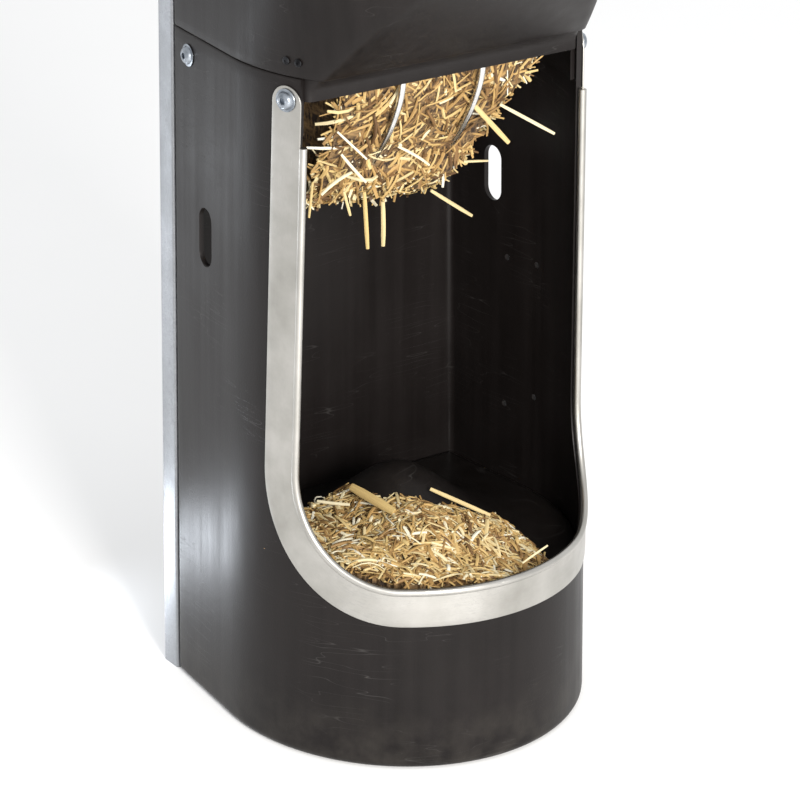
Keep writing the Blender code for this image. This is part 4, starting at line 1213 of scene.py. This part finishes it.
def hay_bulge(x, share):
    """How far the rack's hay stands out of its even face at x."""
    low = 1.0 - ease(share, 0.40, 0.70)
    uneven = (0.004 + 0.006 * low) * lumps(x, share * 0.3, 0.0, 0.050, 3.0)
    return uneven + 0.010 * low * ease(-x, -0.08, 0.10)


def hay_floor(x):
    """Lowest height of the rack's hay at x: its right-hand side has been eaten away."""
    return 0.62 + HAY_SLOPE * (x - HAY_SLOPE_X) + 0.012 * lumps(x, 0.0, 0.0, 0.03, 5.0)


def bale_top(x, y):
    return HAY_TOP + 0.012 * lumps(x, y, 0.0, 0.05, 9.0)


def build_rack_core():
    """Closed lumpy bale behind the stalks: rack face, hopper front, top and back, skinned along X."""
    rings = []
    for x in span(HAY_LEFT, HAY_HALF_WIDTH, 0.006):
        ring = []
        for share in np.linspace(0, 1, 46):
            point, normal = route_point(share)
            point = point + normal * (hay_bulge(x, share) - SKIN)
            ring.append(Vector((x, point.y, max(point.z, hay_floor(x)))))
        limit = [(hopper_front(x, z) + 0.016, z) for z in span(0.812, HAY_TOP, 0.012)]
        ring += [Vector((x, y, z)) for y, z in limit]
        front = limit[-1][0]
        for share in np.linspace(0.04, 1.0, 34):
            y = front + (HAY_BACK - front) * share
            ring.append(Vector((x, y, bale_top(x, y))))
        floor = max(HAY_BOTTOM, hay_floor(x) + 0.01)
        heights = reversed(span(HAY_BOTTOM, HAY_TOP - 0.02, 0.02))
        ring += [Vector((x, HAY_BACK, max(z, floor))) for z in heights]
        rings.append(ring)
    core = make_object("rack_hay_core", loft(rings), PACKED_SHADE)
    smooth(core, 60.0)
    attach(core, "root")


def hopper_front(x, z):
    """Y of the hopper's front inner face at x."""
    half_width, half_depth, centre, _ = hopper_section(z)
    half_width -= HOPPER_WALL
    half_depth -= HOPPER_WALL
    arc = centre - half_depth * math.sqrt(max(0.0, 1 - (x / half_width) ** 2))
    return max(arc, front_limit(z, HOPPER_WALL))


def scatter(count, draw, draw_lengths, shade_depth_range=None):
    """Stalks placed by `draw`, which gives one's start, direction, normal and depth, or None for a miss.

    With a shade_depth_range, the depths are drawn evenly from 0 to it instead. Here the depths only darken
    the stalks' tones, as painted shade.
    """
    spots = []
    while len(spots) < count:
        spot = draw()
        if spot:
            spots.append(spot)
    starts, directions, normals, depths = (np.array([spot[part] for spot in spots]) for part in range(4))
    lengths = draw_lengths(count)
    if shade_depth_range is not None:
        depths = RNG.random(count) * shade_depth_range
    wide, flat = stalk_sizes(count)
    bend = RNG.normal(0, 0.0022, count) * (lengths / 0.03)
    centres, axis_u, axis_v = stalks(starts, directions, lengths, bend, normals)
    return centres, wide, flat, axis_u, axis_v, stalk_tones_with_painted_shade(count, depths)


def uniform_lengths(low, high):
    return lambda count: RNG.uniform(low, high, count)


def mixed_lengths(count):
    """Mostly short pieces, and about one long one in five."""
    is_long = RNG.random(count) < 0.22
    return np.where(is_long, RNG.uniform(0.035, 0.062, count), RNG.uniform(0.014, 0.040, count))


def rack_stalk():
    """A stalk in the rack's face: most lie in it, and some stick out."""
    share = 0.14 + 0.86 * RNG.random() ** 0.85
    point, normal = route_point(share)
    x = RNG.uniform(HAY_LEFT - 0.002, HAY_HALF_WIDTH + 0.002)
    depth = RNG.random() ** 1.4
    out = hay_bulge(x, share) + 0.001 - depth * SKIN * 1.25
    floor = hay_floor(x) + RNG.normal(0.004, 0.006)
    start = (x, point.y + normal.y * out, max(point.z + normal.z * out, floor))
    angle = RNG.uniform(0, 2 * np.pi)
    across = Vector((1, 0, 0))
    tangent = across * math.cos(angle) + normal.cross(across) * math.sin(angle)
    direction = (tangent + normal * RNG.normal(0.02, 0.15)).normalized()
    return start, tuple(direction), tuple(normal), depth


def fringe_stalk():
    """A stalk that hangs from the lower edge of the rack's hay."""
    x = RNG.uniform(HAY_LEFT - 0.008, 0.115)
    share = RNG.uniform(0.10, 0.50)
    point, normal = route_point(share)
    out = hay_bulge(x, share) + RNG.uniform(-0.002, 0.008)
    height = max(point.z + normal.z * out, hay_floor(x) + RNG.uniform(-0.004, 0.012))
    direction = Vector((RNG.normal(0, 0.55), RNG.normal(-0.12, 0.35), -1.0)).normalized()
    return (x, point.y + normal.y * out, height), tuple(direction), (0.0, -1.0, 0.15), 0.0


def top_stalk():
    """A stalk on the top of the bale inside the hopper."""
    x = RNG.uniform(HAY_LEFT + 0.004, HAY_HALF_WIDTH - 0.004)
    y = RNG.uniform(hopper_front(x, HAY_TOP) + 0.026, -0.036)
    z = bale_top(x, y) + RNG.uniform(-0.001, 0.007)
    angle = RNG.uniform(0, 2 * np.pi)
    direction = Vector((math.cos(angle), math.sin(angle), RNG.normal(0, 0.12))).normalized()
    return (x, y, z), tuple(direction), (0.0, 0.0, 1.0), 0.0


def heap_top(x, y):
    """Height of the hay in the trough: highest at the left, falling to the right and the rim."""
    level = 0.246 - 0.024 * ease(x, -0.06, 0.09) - 0.045 * ease(x, 0.070, 0.150)
    level += 0.017 * ease(-abs(x + 0.002), -0.090, -0.030) * ease(y, -0.345, -0.265)
    level -= 0.020 * ease(-y, 0.27, 0.385)
    level -= 0.060 * ease(y, -0.150, -0.080)
    return level + 0.006 * lumps(x, y, 0.0, 0.045, 21.0)


def tray_top(x, y):
    return TRAY_LEVEL + mound_height(x, y)


def in_trough(x, y, margin):
    """True where (x, y) lies inside the shell's inner wall at trough height."""
    half_width, half_depth, centre, _ = shell_section(OPENING_BOTTOM)
    half_width -= SHELL_WALL + margin
    half_depth -= SHELL_WALL + margin
    if y > centre:
        return abs(x) < half_width - 0.004 and y < -SHELL_WALL - margin
    return (x / half_width) ** 2 + ((y - centre) / half_depth) ** 2 < 1


def build_trough_core():
    """Closed height field between the tray and the heap's underlying surface."""
    step = 0.006
    columns, rows = 70, 68
    x0, y0 = -0.210, -0.405
    bm = bmesh.new()
    top, low = {}, {}

    def heights(i, j):
        x, y = x0 + i * step, y0 + j * step
        return x, y, heap_top(x, y) - SKIN * 0.8, tray_top(x, y) + 0.0006

    def kept(i, j):
        for a, b in ((i, j), (i + 1, j), (i + 1, j + 1), (i, j + 1)):
            x, y, high, floor = heights(a, b)
            if high < floor + 0.0015 or not in_trough(x, y, 0.010):
                return False
        return True

    def corner(table, a, b, upper):
        if (a, b) not in table:
            x, y, high, floor = heights(a, b)
            table[(a, b)] = bm.verts.new((x, y, high if upper else floor))
        return table[(a, b)]

    cells = {(i, j) for i in range(columns) for j in range(rows) if kept(i, j)}
    for i, j in sorted(cells):
        ring = ((i, j), (i + 1, j), (i + 1, j + 1), (i, j + 1))
        bm.faces.new([corner(top, a, b, True) for a, b in ring])
        bm.faces.new([corner(low, a, b, False) for a, b in reversed(ring)])
        beyond = ((i, j - 1), (i + 1, j), (i, j + 1), (i - 1, j))
        for (a, b), (c, d), other in zip(ring, ring[1:] + ring[:1], beyond):
            if other not in cells:
                bm.faces.new((corner(low, a, b, False), corner(low, c, d, False),
                              corner(top, c, d, True), corner(top, a, b, True)))
    core = make_object("trough_hay_core", bm, PACKED_SHADE)
    smooth(core, 60.0)
    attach(core, "root")


def trough_stalk():
    """A stalk on the heap, or None where the heap doesn't reach."""
    x, y = RNG.uniform(-0.205, 0.150), RNG.uniform(-0.395, -0.085)
    if not in_trough(x, y, 0.012) or heap_top(x, y) < tray_top(x, y) + 0.001:
        return None
    depth = RNG.random() ** 1.3
    z = heap_top(x, y) + 0.002 - depth * SKIN * 1.1
    angle = RNG.uniform(0, 2 * np.pi)
    step = 0.004
    slope = Vector((heap_top(x + step, y) - heap_top(x - step, y),
                    heap_top(x, y + step) - heap_top(x, y - step), 0)) / (2 * step)
    direction = Vector((math.cos(angle), math.sin(angle), 0))
    direction.z = direction.dot(slope) + RNG.normal(0.0, 0.13)
    start = (x, y, max(z, tray_top(x, y) + 0.002))
    # The added 0.24 darkens every trough stalk's tone: painted shade inside the shell.
    return start, tuple(direction.normalized()), (0.0, 0.0, 1.0), depth + 0.24


def fixed_stalks(spots):
    """Single long straws, each from one point to another, half-width and tone last."""
    starts = np.array([(Vector(a) + Vector(b)) / 2 for a, b, _, _ in spots])
    runs = np.array([Vector(b) - Vector(a) for a, b, _, _ in spots])
    lengths = np.linalg.norm(runs, axis=1)
    directions = runs / lengths[:, None]
    bend = RNG.normal(0, 0.0012, len(spots))
    up = np.tile(np.array([[-0.5, -0.75, 0.4]]), (len(spots), 1))
    centres, axis_u, axis_v = stalks(starts, directions, lengths, bend, up)
    wide = np.array([spot[2] for spot in spots])
    return centres, wide, wide * 0.55, axis_u, axis_v, np.array([spot[3] for spot in spots])


def joined(*groups):
    return [np.concatenate(parts) for parts in zip(*groups)]


RACK_STALKS = (
    ((0.052, -0.235, 0.740), (0.101, -0.245, 0.683), 0.0030, 0.66),
    ((0.095, -0.235, 0.727), (0.166, -0.245, 0.682), 0.0020, 0.86),
    ((0.050, -0.165, 0.613), (0.113, -0.160, 0.568), 0.0022, 0.74),
    ((0.050, -0.190, 0.653), (0.113, -0.190, 0.644), 0.0014, 0.78),
    ((-0.070, -0.205, 0.646), (-0.062, -0.200, 0.575), 0.0024, 0.62),
    ((-0.031, -0.185, 0.621), (-0.027, -0.180, 0.565), 0.0026, 0.72),
    ((-0.109, -0.222, 0.659), (-0.099, -0.220, 0.628), 0.0016, 0.70),
    ((-0.139, -0.205, 0.671), (-0.141, -0.200, 0.628), 0.0015, 0.66),
    ((-0.121, -0.235, 0.708), (-0.086, -0.232, 0.668), 0.0017, 0.92),
    ((-0.141, -0.225, 0.662), (-0.102, -0.228, 0.682), 0.0019, 0.88),
    ((-0.040, -0.228, 0.700), (0.005, -0.225, 0.669), 0.0016, 0.90),
    ((-0.128, -0.238, 0.736), (-0.087, -0.235, 0.696), 0.0013, 0.97),
)
TROUGH_STALKS = (
    ((-0.070, -0.178, 0.274), (-0.056, -0.246, 0.264), 0.0054, 0.60),
    ((0.008, -0.228, 0.270), (0.056, -0.282, 0.244), 0.0024, 0.70),
    ((-0.106, -0.160, 0.258), (-0.080, -0.190, 0.258), 0.0018, 0.88),
    ((0.030, -0.380, 0.228), (0.072, -0.372, 0.236), 0.0012, 0.84),
    ((-0.060, -0.330, 0.238), (-0.020, -0.300, 0.246), 0.0016, 0.90),
    ((-0.125, -0.110, 0.275), (-0.118, -0.135, 0.256), 0.0012, 0.66),
)


def build_hay():
    build_rack_core()
    build_trough_core()
    # The depth ranges given to scatter here only darken these stalks' tones, as painted shade.
    rack = joined(scatter(3900, rack_stalk, mixed_lengths),
                  scatter(240, fringe_stalk, uniform_lengths(0.016, 0.046), 0.4), fixed_stalks(RACK_STALKS))
    build_straws("rack_hay_stalks", *rack)
    build_straws("hopper_hay_stalks", *scatter(1700, top_stalk, uniform_lengths(0.015, 0.048), 1.0))
    trough = joined(scatter(4200, trough_stalk, uniform_lengths(0.010, 0.038)), fixed_stalks(TROUGH_STALKS))
    build_straws("trough_hay_stalks", *trough)


# ---- CAD nodes that keep their shape ----
def dress_kept_nodes():
    kept = {"rack_front_strap": STAINLESS, "rack_rear_strap": STAINLESS}
    for _, label in SIDES:
        kept["hinge_leaf_body_" + label] = GALVANISED
        kept["hinge_leaf_lid_" + label] = GALVANISED
        kept["hinge_pin_" + label] = ZINC
    for name, material in kept.items():
        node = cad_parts[name]
        if not node.material_slots:
            node.data.materials.append(material)
        for slot in node.material_slots:
            slot.material = material


# ---- Studio ----
def area_light(name, place, target, size, power, colour):
    light = bpy.data.lights.new(name, "AREA")
    light.shape = "RECTANGLE"
    light.size, light.size_y = size
    light.energy = power
    light.color = colour
    item = bpy.data.objects.new(name, light)
    item.location = place
    item.rotation_euler = (Vector(target) - Vector(place)).to_track_quat("-Z", "Y").to_euler()
    item.visible_camera = False
    bpy.context.scene.collection.objects.link(item)


def build_studio():
    mesh = bpy.data.meshes.new("studio_floor")
    reach = 14.0
    corners = [(-reach, -reach, 0), (reach, -reach, 0), (reach, reach, 0), (-reach, reach, 0)]
    mesh.from_pydata(corners, [], [(0, 1, 2, 3)])
    mesh.materials.append(floor_material())
    floor = bpy.data.objects.new("studio_floor", mesh)
    bpy.context.scene.collection.objects.link(floor)
    world = bpy.data.worlds.new("studio")
    world.use_nodes = True
    background = world.node_tree.nodes["Background"]
    background.inputs["Color"].default_value = (0.99, 0.995, 1.0, 1.0)
    background.inputs["Strength"].default_value = 1.0
    bpy.context.scene.world = world
    area_light("key_front", (-0.9, -3.2, 1.5), (0.0, -0.2, 0.45), (0.9, 0.9), 172.0, (1.0, 0.975, 0.94))
    area_light("sheen_low_left", (-0.33, 0.50, 0.04), (-0.22, 0.14, 0.08), (0.16, 0.07), 0.60,
               (0.86, 0.92, 1.0))
    area_light("sheen_far_left", (-1.2, 1.65, 0.12), (-0.22, 0.10, 0.35), (0.8, 0.24), 3.0, (0.88, 0.93, 1.0))
    bpy.context.scene.view_settings.view_transform = "Standard"


def build_camera():
    camera = bpy.data.cameras.new("camera")
    camera.lens = CAMERA_LENS
    camera.sensor_width = 36.0
    camera.clip_end = 60.0
    item = bpy.data.objects.new("camera", camera)
    item.location = CAMERA_PLACE
    turn = Matrix.Rotation(-CAMERA_YAW, 3, "Z") @ Matrix.Rotation(math.pi / 2 - CAMERA_PITCH, 3, "X")
    item.rotation_euler = (turn @ Matrix.Rotation(CAMERA_ROLL, 3, "Z")).to_euler()
    bpy.context.scene.collection.objects.link(item)
    bpy.context.scene.camera = item


note_holes()
build_shell()
build_hopper()
build_tray()
build_lid()
build_edging()
for side, label in SIDES:
    build_rail(side, label)
for side, label in SIDES:
    build_rod(side * BAR_X, label)
build_fasteners()
build_handle()
build_hay()
dress_kept_nodes()
build_studio()
build_camera()
